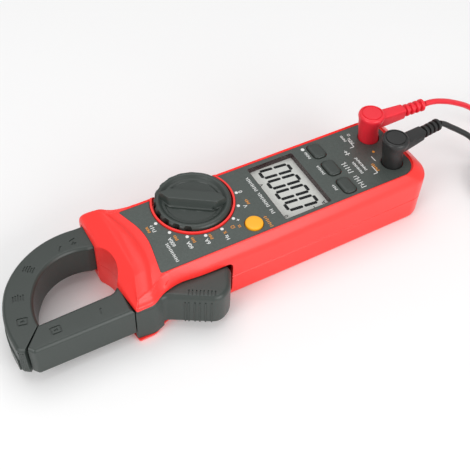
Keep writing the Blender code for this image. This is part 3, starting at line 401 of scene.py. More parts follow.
def arc_through(start, middle, end, steps):
    """Points on the circle through three places, without the last one."""
    ax, ay = start
    bx, by = middle
    cx, cy = end
    d = 2 * (ax * (by - cy) + bx * (cy - ay) + cx * (ay - by))
    a2 = ax * ax + ay * ay
    b2 = bx * bx + by * by
    c2 = cx * cx + cy * cy
    centre_x = (a2 * (by - cy) + b2 * (cy - ay) + c2 * (ay - by)) / d
    centre_y = (a2 * (cx - bx) + b2 * (ax - cx) + c2 * (bx - ax)) / d
    radius = math.hypot(ax - centre_x, ay - centre_y)
    first = math.atan2(ay - centre_y, ax - centre_x)
    sweep = math.atan2(cy - centre_y, cx - centre_x) - first
    sweep = (sweep + math.pi) % (2 * math.pi) - math.pi
    return [
        Vector((centre_x + radius * math.cos(first + sweep * i / steps),
                centre_y + radius * math.sin(first + sweep * i / steps)))
        for i in range(steps)
    ]


def level(points, z):
    return [Vector((point.x, point.y, z)) for point in points]


def loft(rings):
    """A closed solid through rings with equal counts of points, capped at both ends."""
    bm = bmesh.new()
    loops = [[bm.verts.new(point) for point in ring] for ring in rings]
    count = len(loops[0])
    for low, high in zip(loops, loops[1:]):
        for i in range(count):
            j = (i + 1) % count
            bm.faces.new((low[i], low[j], high[j], high[i]))
    bm.faces.new(list(reversed(loops[0])))
    bm.faces.new(loops[-1])
    return bm


def flattened(bm):
    bmesh.ops.triangulate(bm, faces=[face for face in bm.faces if len(face.verts) == 4])
    return bm


def prism(points, z_low, z_high):
    return loft([level(points, z_low), level(points, z_high)])


def outline_loft(corners, profile):
    """A solid with one outline at each inset and height pair, from the bottom to the top."""
    return loft([level(outline(corners, distance), z) for distance, z in profile])


def turned(profile, centre=(0.0, 0.0), segments=48):
    """A solid turned about Z through radius and height pairs, from the bottom to the top."""
    return loft([level(circle(centre, radius, segments), z) for radius, z in profile])


def vectors(places):
    return [Vector(place) for place in places]


def lie_at(x, y, degrees=0.0, z=0.0):
    """A turn about Z in degrees, and then the move to a place."""
    return Matrix.Translation((x, y, z)) @ Matrix.Rotation(math.radians(degrees), 4, "Z")


def moved(bm, matrix):
    bmesh.ops.transform(bm, matrix=matrix, verts=bm.verts)
    return bm


def joined(shapes):
    """Several shapes in one bmesh, for pieces that don't touch each other."""
    whole = bmesh.new()
    for shape in shapes:
        mesh = bpy.data.meshes.new("shape")
        shape.to_mesh(mesh)
        shape.free()
        whole.from_mesh(mesh)
        bpy.data.meshes.remove(mesh)
    return whole


# Case ----------------------------------------------------------------------------------------------

def case_ring(stage, distance=0.0):
    """The case outline between two of the stages in CASE_CORNERS."""
    low = min(int(stage), 2)
    share = stage - low
    corners = []
    for row in CASE_CORNERS:
        place = Vector(row[low]).lerp(Vector(row[low + 1]), share)
        corners.append((*place, row[4]))
    return outline(corners, distance)


def smooth_share(value):
    value = max(0.0, min(1.0, value))
    return value * value * (3 - 2 * value)


def collar_drop(point):
    """How far the collar's near end slopes down towards the trigger."""
    if point.x > -38.0:
        return 0.0
    return 3.2 * smooth_share((-point.y - 20.5) / 8.0) * smooth_share((point.z - 24.0) / 7.0)


def case_room(z_low, z_high, low_inset, high_stage):
    """The room inside a shell, which keeps a wall behind the collar's window."""
    room = make_piece("room", flattened(loft([
        level(case_ring(0.0, low_inset), z_low),
        level(case_ring(0.0, WALL), min(z_high, 24.5) - 1.0),
        level(case_ring(high_stage, WALL), z_high),
    ])))
    combine(room, [prism(circle(HOLLOW_CENTRE, HOLLOW_RADIUS + WALL), -5, 50)])
    return room


def jaw_openings(z_low, z_high):
    """Room for both jaws' roots and for the trigger's swing, between two heights."""
    slot = moved(prism(rectangle(-62.0, -4.7, 2.3, 24.0, 3.0, 8), 20.0, 45.0), UPRIGHT)
    front = prism(rectangle(-62.0, -45.0, -45.0, -11.8), 2.3, 24.0)
    fixed_root = prism(rectangle(-62.0, JAW_ROOT_X + 1.0, 11.9, 27.7), JAW_LOW_Z - 0.3, JAW_HIGH_Z + 0.3)
    hollow = prism(circle(HOLLOW_CENTRE, HOLLOW_RADIUS, 96), z_low, z_high)
    return [slot, front, fixed_root, hollow]


def ring_limit():
    """The room under the shoulder beside the dial, raised by the height that its ring stands proud."""
    side = []
    for stage, z in SHOULDER:
        share = min(1.0, stage)
        side.append((25.5 * (1.0 - share) + 21.6 * share, z + RING_RISE))
    points = [(25.7, 20.0), (25.7, 23.0), *side]
    points += [(-y, z) for y, z in reversed(points)]
    along_x = Matrix(((0, 0, 1, 0), (1, 0, 0, 0), (0, 1, 0, 0), (0, 0, 0, 1)))
    return moved(prism([Vector(point) for point in points], -31.0, 16.0), along_x)


def make_front(looks):
    edge_z = PARTING_Z + PARTING_GAP / 2
    rings = [level(case_ring(0.0, 0.25), edge_z), level(case_ring(0.0), edge_z + 0.25)]
    rings += [level(case_ring(stage), z) for stage, z in SHOULDER]
    rim = case_ring(1.0)
    crown = case_ring(2.0)
    widths = [(low - high).length for low, high in zip(rim, crown)]
    for stage, share in CROWN:
        ring = level(case_ring(stage), RIM_Z)
        for point, width in zip(ring, widths):
            point.z += CROWN_SHARE * width * share - 0.1 * (stage == 2.0)
        rings.append(ring)
    rings += [level(case_ring(stage), z) for stage, z in VALLEY]
    for ring in rings:
        for point in ring:
            point.z -= collar_drop(point)
    case = make_piece("case_front", flattened(loft(rings)), looks["red_plastic"])
    cup = make_piece("cup", prism(circle(DIAL_CENTRE, RING_RADIUS, 96), WELL_FLOOR_Z - 2.2, 40.0))
    combine(cup, [ring_limit()], "INTERSECT")
    combine(case, [case_room(PARTING_Z - 1.0, 28.2, WALL, 0.3)])
    combine(case, [cup], "UNION")
    combine(case, jaw_openings(PARTING_Z - 2.0, 40.0))
    bed = make_piece("bed", prism(outline(PANEL_CORNERS, -0.12), BED_Z, 40.0))
    combine(bed, [prism(circle(DIAL_CENTRE, RING_RADIUS - 0.06, 96), BED_Z - 1.0, 41.0)])
    holes = [
        bed,
        prism(circle(DIAL_CENTRE, WELL_RADIUS, 96), WELL_FLOOR_Z, 42.0),
        prism(circle(DIAL_CENTRE, 5.0, 32), 20.0, WELL_FLOOR_Z + 1.0),
        prism(rectangle(*grown(WINDOW, 0.2)), 20.0, 42.0),
        *control_holes(20.0, 42.0),
    ]
    combine(case, holes)
    soften(case, 0.22)
    settle(case, "housing", "red_plastic", "front_shell")


def key_outline(y, margin):
    half_x = KEY_SIZE[0] / 2 + margin
    half_y = KEY_SIZE[1] / 2 + margin
    return rectangle(KEY_X - half_x, KEY_X + half_x, y - half_y, y + half_y, 2.4 + margin, 6)


def control_holes(z_low, z_high):
    """Openings for the select key, the three small keys and the two jacks."""
    outlines = [circle(SELECT_CENTRE, SELECT_RADIUS + 0.3, 48)]
    outlines += [key_outline(y, 0.3) for y in KEY_Y]
    outlines += [circle((JACK_X, y), JACK_HOLE_RADIUS, 48) for y in (JACK_Y, -JACK_Y)]
    return [prism(points, z_low, z_high) for points in outlines]


def door_corners(margin):
    """The battery door with its screw tab towards the tail."""
    x_low, x_high, _, half_width = grown(BAY, margin - 0.8)
    shoulder_x = DOOR_SCREW[0] - 4.0 + margin
    tab_x = DOOR_SCREW[0] + 4.0 + margin
    tab_y = 4.5 + margin
    near_side = [(x_low, -half_width), (x_high, -half_width), (shoulder_x, -tab_y), (tab_x, -tab_y)]
    far_side = [(x, -y) for x, y in reversed(near_side)]
    return [(x, y, 1.0, 4) for x, y in near_side + far_side]


def make_back(looks):
    edge_z = PARTING_Z - PARTING_GAP / 2
    rings = [level(case_ring(0.0, distance), z) for distance, z in (
        (1.3, 0.0), (0.75, 0.2), (0.3, 0.75), (0.06, 1.5), (0.0, 2.4), (0.0, edge_z - 0.25), (0.25, edge_z),
    )]
    case = make_piece("case_back", flattened(loft(rings)), looks["red_plastic"])
    combine(case, [case_room(WALL, PARTING_Z + 1.0, WALL + 0.2, 0.0)])
    combine(case, [
        *[prism(circle(place, 3.2, 24), 1.0, PARTING_Z - 0.2) for place in CASE_SCREWS],
        prism(circle(DOOR_SCREW, 3.2, 24), 1.0, 9.0),
        prism(rectangle(BAY[1] - 1.0, DOOR_SCREW[0] + 5.6, -6.2, 6.2), 1.0, 3.6),
        prism(rectangle(*BAY), 1.0, 15.4),
    ], "UNION")
    combine(case, [
        *jaw_openings(-5.0, 20.0),
        prism(rectangle(*grown(BAY, -BAY_WALL)), -2.0, 13.8),
        prism(outline(door_corners(0.3)), -3.0, 2.0),
        *[prism(circle(place, 2.9, 32), -2.0, 3.4) for place in CASE_SCREWS],
        *[prism(circle(place, 1.4, 16), 3.0, 20.0) for place in CASE_SCREWS],
        prism(circle(DOOR_SCREW, 1.3, 16), 0.0, 8.0),
        prism(circle(PIVOT, PIN_HOLE_RADIUS, 24), 1.2, 8.0),
    ])
    soften(case, 0.2)
    settle(case, "housing", "red_plastic", "rear_shell")


# Panel and display ----------------------------------------------------------------------------------

def make_panel(looks):
    sheet = prism(outline(PANEL_CORNERS), PANEL_Z - 0.5, PANEL_Z)
    film = make_piece("panel_film", sheet, looks["panel_film"])
    combine(film, [
        prism(circle(DIAL_CENTRE, RING_RADIUS + 0.12, 96), 25.0, 35.0),
        prism(rectangle(*WINDOW), 25.0, 35.0),
        *control_holes(25.0, 35.0),
    ])
    soften(film, 0.1, 1)
    settle(film, "housing", "panel_film", "panel_overlay")


def bar(start, end, width, z_low, z_high, taper=0.0):
    """A straight flat stroke between two places."""
    start = Vector(start)
    end = Vector(end)
    along = (end - start).normalized()
    side = Vector((-along.y, along.x)) * (width / 2)
    tip = along * taper
    points = [start - side + tip, end - side - tip, end, end + side - tip, start + side + tip, start]
    if not taper:
        points = [start - side, end - side, end + side, start + side]
    return prism(points, z_low, z_high)


LCD_SIGNS = (
    ("A", (50.6, -15.6), 3.0), ("~", (44.6, -16.6), 4.2), ("V", (29.4, 8.2), 3.0), ("0", (29.8, -15.0), 2.8),
)


def make_display(looks):
    digit_look = add_look("lcd_segments", (0.012, 0.014, 0.014), 0.5)
    digit_look.node_tree.nodes["Principled BSDF"].inputs["Specular IOR Level"].default_value = 0.1
    glass = grown(WINDOW, 0.8)
    panel = make_piece("lcd_panel", prism(rectangle(*glass), LCD_LOW_Z, LCD_Z), looks["lcd"])
    soften(panel, 0.1, 1)
    settle(panel, "housing", "lcd", "lcd_glass")
    # A dark red ring in the window's recess: painted shade that stands for the recess's red walls in shadow
    recess_shade_ring = make_piece("window_recess_shade", prism(rectangle(*grown(WINDOW, 0.17)), LCD_Z + 0.04, PANEL_Z - 0.06),
                        add_look("window_recess_shade", (0.035, 0.012, 0.012), 0.3, grain_depth=0.01))
    combine(recess_shade_ring, [prism(rectangle(*grown(WINDOW, -0.12)), 20.0, 40.0)])
    settle(recess_shade_ring, "housing", "black_plastic")
    strokes = []
    top_x, low_x = 32.8, 48.4
    width = 5.0
    stroke = 1.65
    slant = -1.4
    middle_x = (top_x + low_x) / 2

    def place(x, y_offset, centre_y):
        return (x, centre_y + y_offset + slant * (x - top_x) / (low_x - top_x))

    for index in range(4):
        centre_y = -10.0 + 8.0 * index
        left, right = -width / 2, width / 2
        for x in (top_x, low_x):
            strokes.append(bar(place(x, left + 0.35, centre_y), place(x, right - 0.35, centre_y),
                               stroke, LCD_Z, LCD_Z + PRINT_HEIGHT, 0.5))
        for y in (left, right):
            for x_low, x_high in ((top_x + 0.4, middle_x - 0.25), (middle_x + 0.25, low_x - 0.4)):
                strokes.append(bar(place(x_low, y, centre_y), place(x_high, y, centre_y),
                                   stroke, LCD_Z, LCD_Z + PRINT_HEIGHT, 0.5))
    digits = make_piece("lcd_digits", joined(strokes), digit_look)
    settle(digits, "housing", "lcd")
    small = make_marks("lcd_marks", LCD_SIGNS, digit_look, LCD_Z)
    settle(small, "housing", "lcd")


def make_marks(name, marks, look, z):
    """Flat printed characters and signs, read with their tops towards the jaws."""
    shapes = []
    for text, (x, y), size, *turn in marks:
        curve = bpy.data.curves.new("mark", "FONT")
        curve.body = text
        curve.size = size * MM
        curve.extrude = PRINT_HEIGHT / 2 * MM
        curve.align_x = "CENTER"
        curve.align_y = "CENTER"
        curve.resolution_u = 3
        curve.offset = 0.012 * MM * size / 2.0
        mark = new_object("mark", curve)
        bpy.context.view_layer.update()
        mesh = bpy.data.meshes.new_from_object(mark.evaluated_get(bpy.context.evaluated_depsgraph_get()))
        shape = bmesh.new()
        shape.from_mesh(mesh)
        angle = math.radians(90 + (turn[0] if turn else 0.0))
        bmesh.ops.transform(shape, matrix=Matrix.Translation((x * MM, y * MM, (z + PRINT_HEIGHT / 2) * MM))
                            @ Matrix.Rotation(angle, 4, "Z"), verts=shape.verts)
        bmesh.ops.scale(shape, vec=(1 / MM, 1 / MM, 1 / MM), verts=shape.verts)
        shapes.append(shape)
        bpy.data.objects.remove(mark, do_unlink=True)
        bpy.data.meshes.remove(mesh)
    return make_piece(name, joined(shapes), look)


def around_dial(radius, angle):
    angle = math.radians(angle)
    return DIAL_CENTRE[0] + radius * math.cos(angle), DIAL_CENTRE[1] + radius * math.sin(angle)


def stroke_row(x, y_low, y_high, height):
    """A row of small upright strokes and dashes, where the object has a line of print."""
    shapes = []
    pitch = 0.42 * height + 0.28
    count = max(2, round((y_high - y_low) / pitch))
    low_z, top_z = PANEL_Z, PANEL_Z + PRINT_HEIGHT
    for index in range(count):
        y = y_low + (y_high - y_low) * (index + 0.5) / count
        reach = height * (0.5, 0.36, 0.5, 0.42)[index % 4]
        shapes.append(bar((x - reach, y), (x + reach, y), 0.34, low_z, top_z))
        if index % 3 != 2:
            cross_x = x + reach * (-0.8, 0.1, 0.8, 0.0, 0.75)[index % 5]
            shapes.append(bar((cross_x, y), (cross_x, y + 0.62 * pitch), 0.3, low_z, top_z))
    return shapes


# Rows of strokes as x, the two ends in y, and height; bars as two ends and width; signs as text, place, size
WHITE_ROWS = (
    (-30.9, 1.7, 6.5, 1.9), (-29.2, -18.6, -6.6, 1.5), (23.7, -13.3, -9.8, 1.8), (23.7, -8.4, 1.6, 1.8),
    (23.7, 3.0, 13.1, 1.8), (58.9, 10.2, 15.6, 1.5), (59.2, -2.4, 4.4, 1.5), (58.8, -14.2, -10.2, 1.5),
    (71.9, -19.0, -9.6, 2.9), (71.9, -7.8, 0.4, 2.9), (76.6, -10.4, -1.4, 1.5), (79.6, -9.4, 0.6, 1.5),
    (84.6, 9.4, 14.2, 1.5), (82.0, 12.6, 17.6, 1.4),
)
ORANGE_ROWS = (
    (16.2, -2.6, 0.8, 1.5), (-9.4, -13.9, -10.5, 1.5), (-17.4, -12.1, -8.7, 1.5), (-24.0, -7.3, -3.9, 1.5),
    (-33.2, 2.6, 6.4, 1.3), (18.8, -20.0, -12.6, 1.7), (84.6, -12.6, -6.6, 1.8),
)
WHITE_BARS = (
    ((77.6, 3.6), (77.6, 7.2), 0.4), ((76.2, 4.6), (79.0, 4.6), 0.4), ((76.8, 6.2), (78.4, 6.2), 0.4),
    ((81.2, 7.6), (83.6, 7.6), 0.36), ((83.6, 7.6), (83.6, 12.8), 0.36), ((81.2, -13.2), (83.6, -13.2), 0.36),
    ((83.6, -13.2), (83.6, -8.0), 0.36), ((87.4, -6.0), (87.4, -2.4), 0.4),
)
WHITE_SIGNS = (
    ("0", (16.5, 6.4), 2.9), ("V", (14.2, -2.9), 2.8), ("Hz", (-2.8, -16.0), 2.6),
    ("6A", (-11.9, -14.1), 2.8), ("60A", (-20.1, -12.3), 2.7), ("600A", (-26.6, -7.0), 2.6),
    ("+", (6.8, -8.9), 3.0), ("Ω", (86.2, 16.2), 2.2),
)
ORANGE_SIGNS = (("%", (-2.3, -12.9), 2.2), ("Ω", (2.5, -11.6), 2.6), ("=", (5.6, -12.6), 3.4))


def make_print():
    """Generic marks round the dial, by the keys and by the jacks."""
    white = add_look("white_print", (0.72, 0.73, 0.72), 0.45, grain=1500, mottle=0.02)
    orange = add_look("orange_print", (0.72, 0.27, 0.03), 0.45, grain=1500, mottle=0.02)
    top = PANEL_Z + PRINT_HEIGHT
    stops = [around_dial(STOP_RADIUS, FIRST_STOP - STOP_STEP * index) for index in range(8)]
    white_shapes = [turned(((0.82, PANEL_Z), (0.78, top)), place, 20) for place in stops]
    white_shapes.append(prism(circle((58.9, 17.6), 0.95, 24), PANEL_Z, top))
    white_shapes += [bar(start, end, width, PANEL_Z, top) for start, end, width in WHITE_BARS]
    orange_shapes = [prism(circle((90.4, 0.0), 0.7, 20), PANEL_Z, top)]
    for shapes, rows in ((white_shapes, WHITE_ROWS), (orange_shapes, ORANGE_ROWS)):
        for row in rows:
            shapes.extend(stroke_row(*row))
    pieces = [
        make_piece("panel_print_white", joined(white_shapes), white),
        make_piece("panel_print_orange", joined(orange_shapes), orange),
        make_marks("panel_marks_white", WHITE_SIGNS, white, PANEL_Z),
        make_marks("panel_marks_orange", ORANGE_SIGNS, orange, PANEL_Z),
    ]
    for piece in pieces:
        settle(piece, "housing", "panel_film")


# Keys and dial --------------------------------------------------------------------------------------

def make_keys(looks):
    for name, y in zip(("hold_key", "peak_key", "relative_key"), KEY_Y):
        cap = loft([level(key_outline(y, margin), z) for margin, z in (
            (0.9, 26.6), (0.9, 27.9), (0.0, 27.95), (0.0, 31.2), (-0.18, 31.65), (-0.55, 32.0), (-1.1, 32.17),
            (-2.0, 32.2),
        )])
        piece = make_piece(name.replace("key", "cap"), cap, looks["slate_plastic"])
        soften(piece)
        settle(piece, name, "slate_plastic", name)
    profile = (
        (5.2, 26.0), (5.2, 27.9), (SELECT_RADIUS, 27.95), (SELECT_RADIUS, 31.5), (4.2, 31.8), (3.9, 32.05),
        (3.4, 32.18), (2.0, 32.2), (0.6, 32.2),
    )
    piece = make_piece("select_cap", turned(profile, SELECT_CENTRE, 56), looks["orange_key"])
    soften(piece)
    settle(piece, "select_key", "orange_key", "select_key")


def knob_radius(angle, z):
    """Radius share of the knob's side, with scallops on the half opposite its pointer."""
    if z > 33.2 or z < 27.6:
        return 1.0
    depth = 0.0
    for scallop in range(11):
        offset = (angle - 90 - 18 * scallop + 180) % 360 - 180
        depth = max(depth, 1.0 - (offset / 5.0) ** 2)
    return 1.0 - 0.085 * max(0.0, depth) ** 0.5 * (1.0 - 0.5 * smooth_share((z - 32.2) / 0.9))


def make_dial(looks):
    profile = (
        (18.0, 27.4), (18.5, 27.7), (18.5, 29.0), (18.5, 31.0), (18.45, 32.2), (18.3, 32.5), (18.0, 33.0),
        (17.5, 33.35), (16.9, 33.5), (16.2, 33.45), (15.6, 33.1), (15.1, 32.5), (14.6, 32.15), (13.4, 32.05),
        (13.1, 31.8), (12.9, 31.45), (8.0, 31.4), (1.0, 31.4),
    )
    segments = 180
    rings = []
    for radius, z in profile:
        ring = []
        for i in range(segments):
            degrees = 360 * i / segments
            angle = math.radians(degrees)
            share = radius * (knob_radius(degrees, z) if radius > 17.8 else 1.0)
            ring.append(Vector((share * math.cos(angle), share * math.sin(angle), z)))
        rings.append(ring)
    turn = lie_at(*DIAL_CENTRE, DIAL_ANGLE)
    knob = make_piece("dial_cap", moved(loft(rings), turn), looks["slate_plastic"])

    def grip_level(length, width, shoulder, z):
        return level(outline((
            (length, 0.0, 0.6, 3), (shoulder, width, 1.2, 4), (-shoulder, width, 1.2, 4),
            (-length, 0.0, 0.6, 3), (-shoulder, -width, 1.2, 4), (shoulder, -width, 1.2, 4),
        )), z)

    grip = loft([grip_level(*row) for row in (
        (17.0, 5.5, 10.6, 31.0), (17.0, 5.4, 10.6, 32.1), (16.9, 5.1, 10.6, 32.35), (16.8, 4.7, 10.6, 32.4),
        (16.3, 3.9, 11.0, 33.9), (15.9, 3.3, 11.2, 35.4), (15.6, 3.0, 11.3, 35.85), (15.2, 2.6, 11.3, 36.0),
    )])
    combine(knob, [moved(grip, turn)], "UNION")
    lines = []
    for y in (4.6, 6.6, 8.6):
        for side in (y, -y):
            line = rectangle(11.0 - 0.25 * y, 14.6 - 0.35 * y, side - 0.35, side + 0.35, 0.2, 2)
            lines.append(moved(prism(line, 32.0, 40.0), turn))
    combine(knob, lines)
    socket = moved(prism(rectangle(-4.3, 3.3, -4.3, 4.3), 25.0, 31.0), turn)
    combine(knob, [socket])
    soften(knob, 0.12, 2, 35)
    settle(knob, "dial", "slate_plastic", "dial_knob")


# Jaws and trigger -----------------------------------------------------------------------------------

def jaw_levels():
    """Inset and height of the jaws' chamfered rims, with a little rounding at each break."""
    rim = [(0.0, 1.0), (0.12, 0.72), (0.5, 0.4), (1.2, 0.12), (1.6, 0.0)]
    profile = [(JAW_CHAMFER * share, JAW_LOW_Z + depth) for depth, share in rim]
    profile += [(JAW_CHAMFER * share, JAW_HIGH_Z - depth) for depth, share in reversed(rim)]
    return profile


def jaw_side(arcs, root_y):
    points = [Vector((JAW_ROOT_X, root_y))]
    for arc in arcs:
        points += arc_through(*arc, JAW_ARC_STEPS)
    points.append(Vector(arcs[-1][2]))
    return points


def jaw_step(outer):
    """The lower half of the fixed jaw's outer end, which stands a little proud."""
    side = outer[-24:] + vectors(((-107.2, -23.4), (-106.2, -25.8)))
    inner_edge = inset(side, 2.5)[1:-1]
    back = list(reversed(inner_edge))
    return loft([level(back + inset(side, distance)[1:-1], z) for z, distance in JAW_STEP_LEVELS])


def block_beside(start, end):
    """A block on the right of the line from start to end, to trim a jaw's mating face."""
    start, end = vectors((start, end))
    along = (end - start).normalized()
    aside = Vector((along.y, -along.x)) * 6.0
    first = start - along * 4.0
    last = end + along * 3.0
    return prism([first, first + aside, last + aside, last], 0.0, 30.0)


def make_jaws(looks):
    inner = jaw_side(JAW_INNER_ARCS, 12.2)
    outer = jaw_side(JAW_OUTER_ARCS, 27.4)
    tip = vectors(((-107.2, -23.4), (-106.4, -25.2), (-103.4, -27.3), (-102.4, -26.2), (-94.3, -17.6)))
    around = list(reversed(inner)) + outer + tip
    body = loft([level(inset(around, distance), z) for distance, z in jaw_levels()])
    fixed = make_piece("fixed_jaw", body, looks["slate_plastic"])
    combine(fixed, [prism(rectangle(-54.4, -52.6, 13.0, 28.4), 4.4, 24.8), jaw_step(outer)], "UNION")
    low = [a.lerp(b, 0.24) for a, b in zip(inner, outer)]
    high = [a.lerp(b, 0.76) for a, b in zip(inner, outer)]
    mouth = vectors(((-40.0, low[0].y), (-40.0, high[0].y)))
    channel = list(reversed(low[1:-1])) + mouth + high[1:-1]
    cuts = [prism(inset(channel, -CORE_GAP), *CORE_ROOM_Z), block_beside(*FIXED_FACE)]
    cuts += jaw_marks(((-100.1, -12.2, -12, "square"), (-71.5, 18.2, -20, "tick"), (-64.7, 19.4, 0, "sign"),
                       (-88.0, 13.6, 50, "rows"), (-97.6, 0.6, 75, "rows")))
    combine(fixed, cuts)
    ribs = [moved(prism(rectangle(-0.3, 0.3, -0.5, 0.5, 0.2, 2), 8.5, 21.5),
                  lie_at(-106.6 + 0.75 * i, -24.6 - 0.62 * i)) for i in range(3)]
    combine(fixed, ribs, "UNION")
    soften(fixed, 0.1, 1, 40)
    settle(fixed, "housing", "slate_plastic", "fixed_jaw_shell")

    corners = (
        (-95.5, -16.3, 0.6, 4), (-103.7, -25.5, 0.5, 3), (-100.8, -28.9, 0.9, 4), (-55.6, -29.2, 0.3, 2),
        (-55.6, -13.0, 0.3, 2), (-57.0, -13.0, 0.4, 2), (-59.8, -15.5, 1.8, 6),
    )
    moving = make_piece("moving_jaw", outline_loft(corners, jaw_levels()), looks["slate_plastic"])
    core = vectors((
        (-93.6, -19.0), (-98.4, -24.6), (-62.0, -25.0), (-57.0, -22.0), (-49.0, -15.6), (-49.0, -11.2),
        (-52.0, -11.2), (-57.0, -16.2), (-62.0, -19.0),
    ))
    cuts = [prism(inset(core, -CORE_GAP), *CORE_ROOM_Z), block_beside(*MOVING_FACE)]
    cuts += jaw_marks(((-89.0, -22.7, -2, "square"), (-68.4, -22.5, -6, "tick")))
    combine(moving, cuts)
    soften(moving, 0.1, 1, 40)
    settle(moving, "jaw", "slate_plastic", "moving_jaw_shell")


def jaw_marks(places):
    """Sunk marks in the jaws' tops: squares with a stroke in them, ticks, and rows of short lines."""
    strokes = {
        "square": (
            (-2.1, -1.7, 2.1, -1.7), (-2.1, 1.7, 2.1, 1.7), (-2.1, -1.7, -2.1, 1.7), (2.1, -1.7, 2.1, 1.7),
            (-0.9, 0.0, 0.9, 0.0), (0.3, -0.6, 0.3, 0.6),
        ),
        "tick": ((-0.4, -1.5, 0.0, 1.5), (0.0, 1.5, 0.5, 1.2)),
        "sign": ((-1.2, -1.0, 1.2, -1.0), (0.0, -2.0, 0.0, 0.2), (-1.4, 1.2, 1.4, 2.0)),
        "rows": [
            (-2.0 + 0.3 * (row % 2), 1.1 * row, 1.8 - 0.4 * (row % 3), 1.1 * row) for row in range(-2, 3)
        ],
    }
    cuts = []
    for x, y, angle, kind in places:
        turn = lie_at(x, y, angle)
        for start_x, start_y, end_x, end_y in strokes[kind]:
            line = bar((start_x, start_y), (end_x, end_y), 0.65, JAW_HIGH_Z - 0.4, 30.0)
            cuts.append(moved(line, turn))
    return cuts


def make_trigger(looks):
    body = outline_loft(TRIGGER_CORNERS, (
        (0.8, 5.0), (0.35, 5.25), (0.0, 6.0), (0.0, 20.9), (0.25, 21.9), (0.8, 22.7), (1.5, 23.2),
        (2.4, 23.4),
    ))
    lever = make_piece("trigger", body, looks["slate_plastic"])
    skirt = prism(outline((
        (-55.3, -29.5, 0.4, 2), (-46.3, -30.2, 2.0, 5), (-41.4, -28.2, 0.4, 2), (-41.8, -27.3, 0.3, 1),
        (-55.3, -27.3, 0.3, 1),
    )), 2.6, 7.0)
    start, end = vectors(TRIGGER_FACE)
    along = (end - start).normalized()
    inwards = Vector((-along.y, along.x))

    def on_face(shape, x, depth=0.0):
        place = start + along * ((x - start.x) / along.x) + inwards * depth
        return moved(shape, lie_at(*place, math.degrees(math.atan2(along.y, along.x))))

    ribs = [on_face(prism(rectangle(-0.35, 0.35, -0.4, 0.6, 0.2, 2), 5.6, 19.6), x)
            for x in (-32.9, -31.5, -29.1, -27.2, -25.0, -22.6)]
    combine(lever, [skirt, prism(circle(PIVOT, HUB_RADIUS, 48), 5.0, 23.3), *ribs], "UNION")
    combine(lever, [on_face(prism(rectangle(-0.3, 0.3, -1.4, 1.4, 0.2, 2), 22.9, 24.0), x, 3.1)
                    for x in (-31.6, -30.2, -28.6, -27.2, -25.8, -24.2, -22.8, -21.4)])
    hollow = prism(outline((
        (-38.0, -25.2, 1.0, 3), (-19.0, -36.6, 2.0, 4), (-13.8, -34.0, 2.0, 4), (-9.6, -27.2, 1.0, 3),
    )), 0.0, 19.6)
    combine(lever, [prism(circle(PIVOT, PIN_HOLE_RADIUS, 32), 0.0, 30.0), hollow])
    soften(lever, 0.15, 2, 35)
    settle(lever, "jaw", "slate_plastic", "trigger_lever")


# Leads ----------------------------------------------------------------------------------------------

def plug_lie(y, heading, droop):
    """From along Z to along the plug's arm."""
    return lie_at(JACK_X, y, heading, ARM_Z) @ Matrix.Rotation(math.radians(90.0 + droop), 4, "Y")


def make_plug(colour, y, heading, droop, looks):
    """A right-angled plug: a round head on the jack, a flat-sided arm and a ribbed strain relief."""
    look = looks[colour + "_lead"]
    head = (
        (5.2, 26.3), (5.2, 31.0), (5.2, 37.4), (5.35, 39.4), (5.8, 41.3), (6.4, 43.0), (6.75, 44.5),
        (6.7, 45.4), (6.4, 46.1), (5.9, 46.5), (5.4, 46.6), (5.3, 46.1), (4.8, 46.1), (4.7, 46.6),
        (2.0, 46.7), (0.6, 46.7),
    )
    # the head tips back as it rises, and its top reaches out over the arm
    turn = math.radians(heading)
    rings = []
    for radius, z in head:
        reach = 1.6 * smooth_share((z - 38.5) / 5.0)
        back = 1.8 * smooth_share((z - 30.0) / 15.0)
        centre_x = JACK_X + reach * math.cos(turn) - 0.86 * back
        centre_y = y + reach * math.sin(turn) + 0.52 * back
        rings.append(level(circle((centre_x, centre_y), radius, 56), z))
    plug = make_piece(colour + "_plug_body", loft(rings), look)
    lengthwise = plug_lie(y, heading, droop)

    arm = loft([level(rectangle(-half, half, -half, half, blend, 3), z) for half, blend, z in (
        (3.6, 1.3, 0.0), (3.5, 1.3, 6.0), (3.3, 1.3, 12.0), (3.05, 1.3, 18.6), (2.75, 1.1, 19.1),
    )])
    profile = [(1.75, 18.4), (1.75, 20.4)]
    for rib in range(4):
        start = 20.4 + rib * 3.1
        swell = 3.15 + 0.1 * (rib == 3)
        profile += [(swell - 0.3, start + 0.05), (swell, start + 0.3), (swell, start + 1.4),
                    (swell - 0.35, start + 1.7), (1.75, start + 1.8)]
        if rib < 3:
            profile.append((1.75, start + 3.0))
    profile += [(1.75, ARM_LENGTH - 0.6), (1.6, ARM_LENGTH)]
    relief = turned(profile, segments=32)
    combine(plug, [moved(arm, lengthwise), moved(relief, lengthwise)], "UNION")
    socket_room = prism(circle((JACK_X, y), 3.5, 32), 20.0, 30.2)
    pin_room = prism(circle((JACK_X, y), 2.25, 24), 20.0, 36.3)
    combine(plug, [socket_room, pin_room])
    soften(plug, 0.18, 2, 35)
    return settle(plug, "housing", colour + "_lead", colour + "_plug")


def ramp(phase, centre, half_width=0.1):
    return smooth_share((phase - centre + half_width) / (2 * half_width))


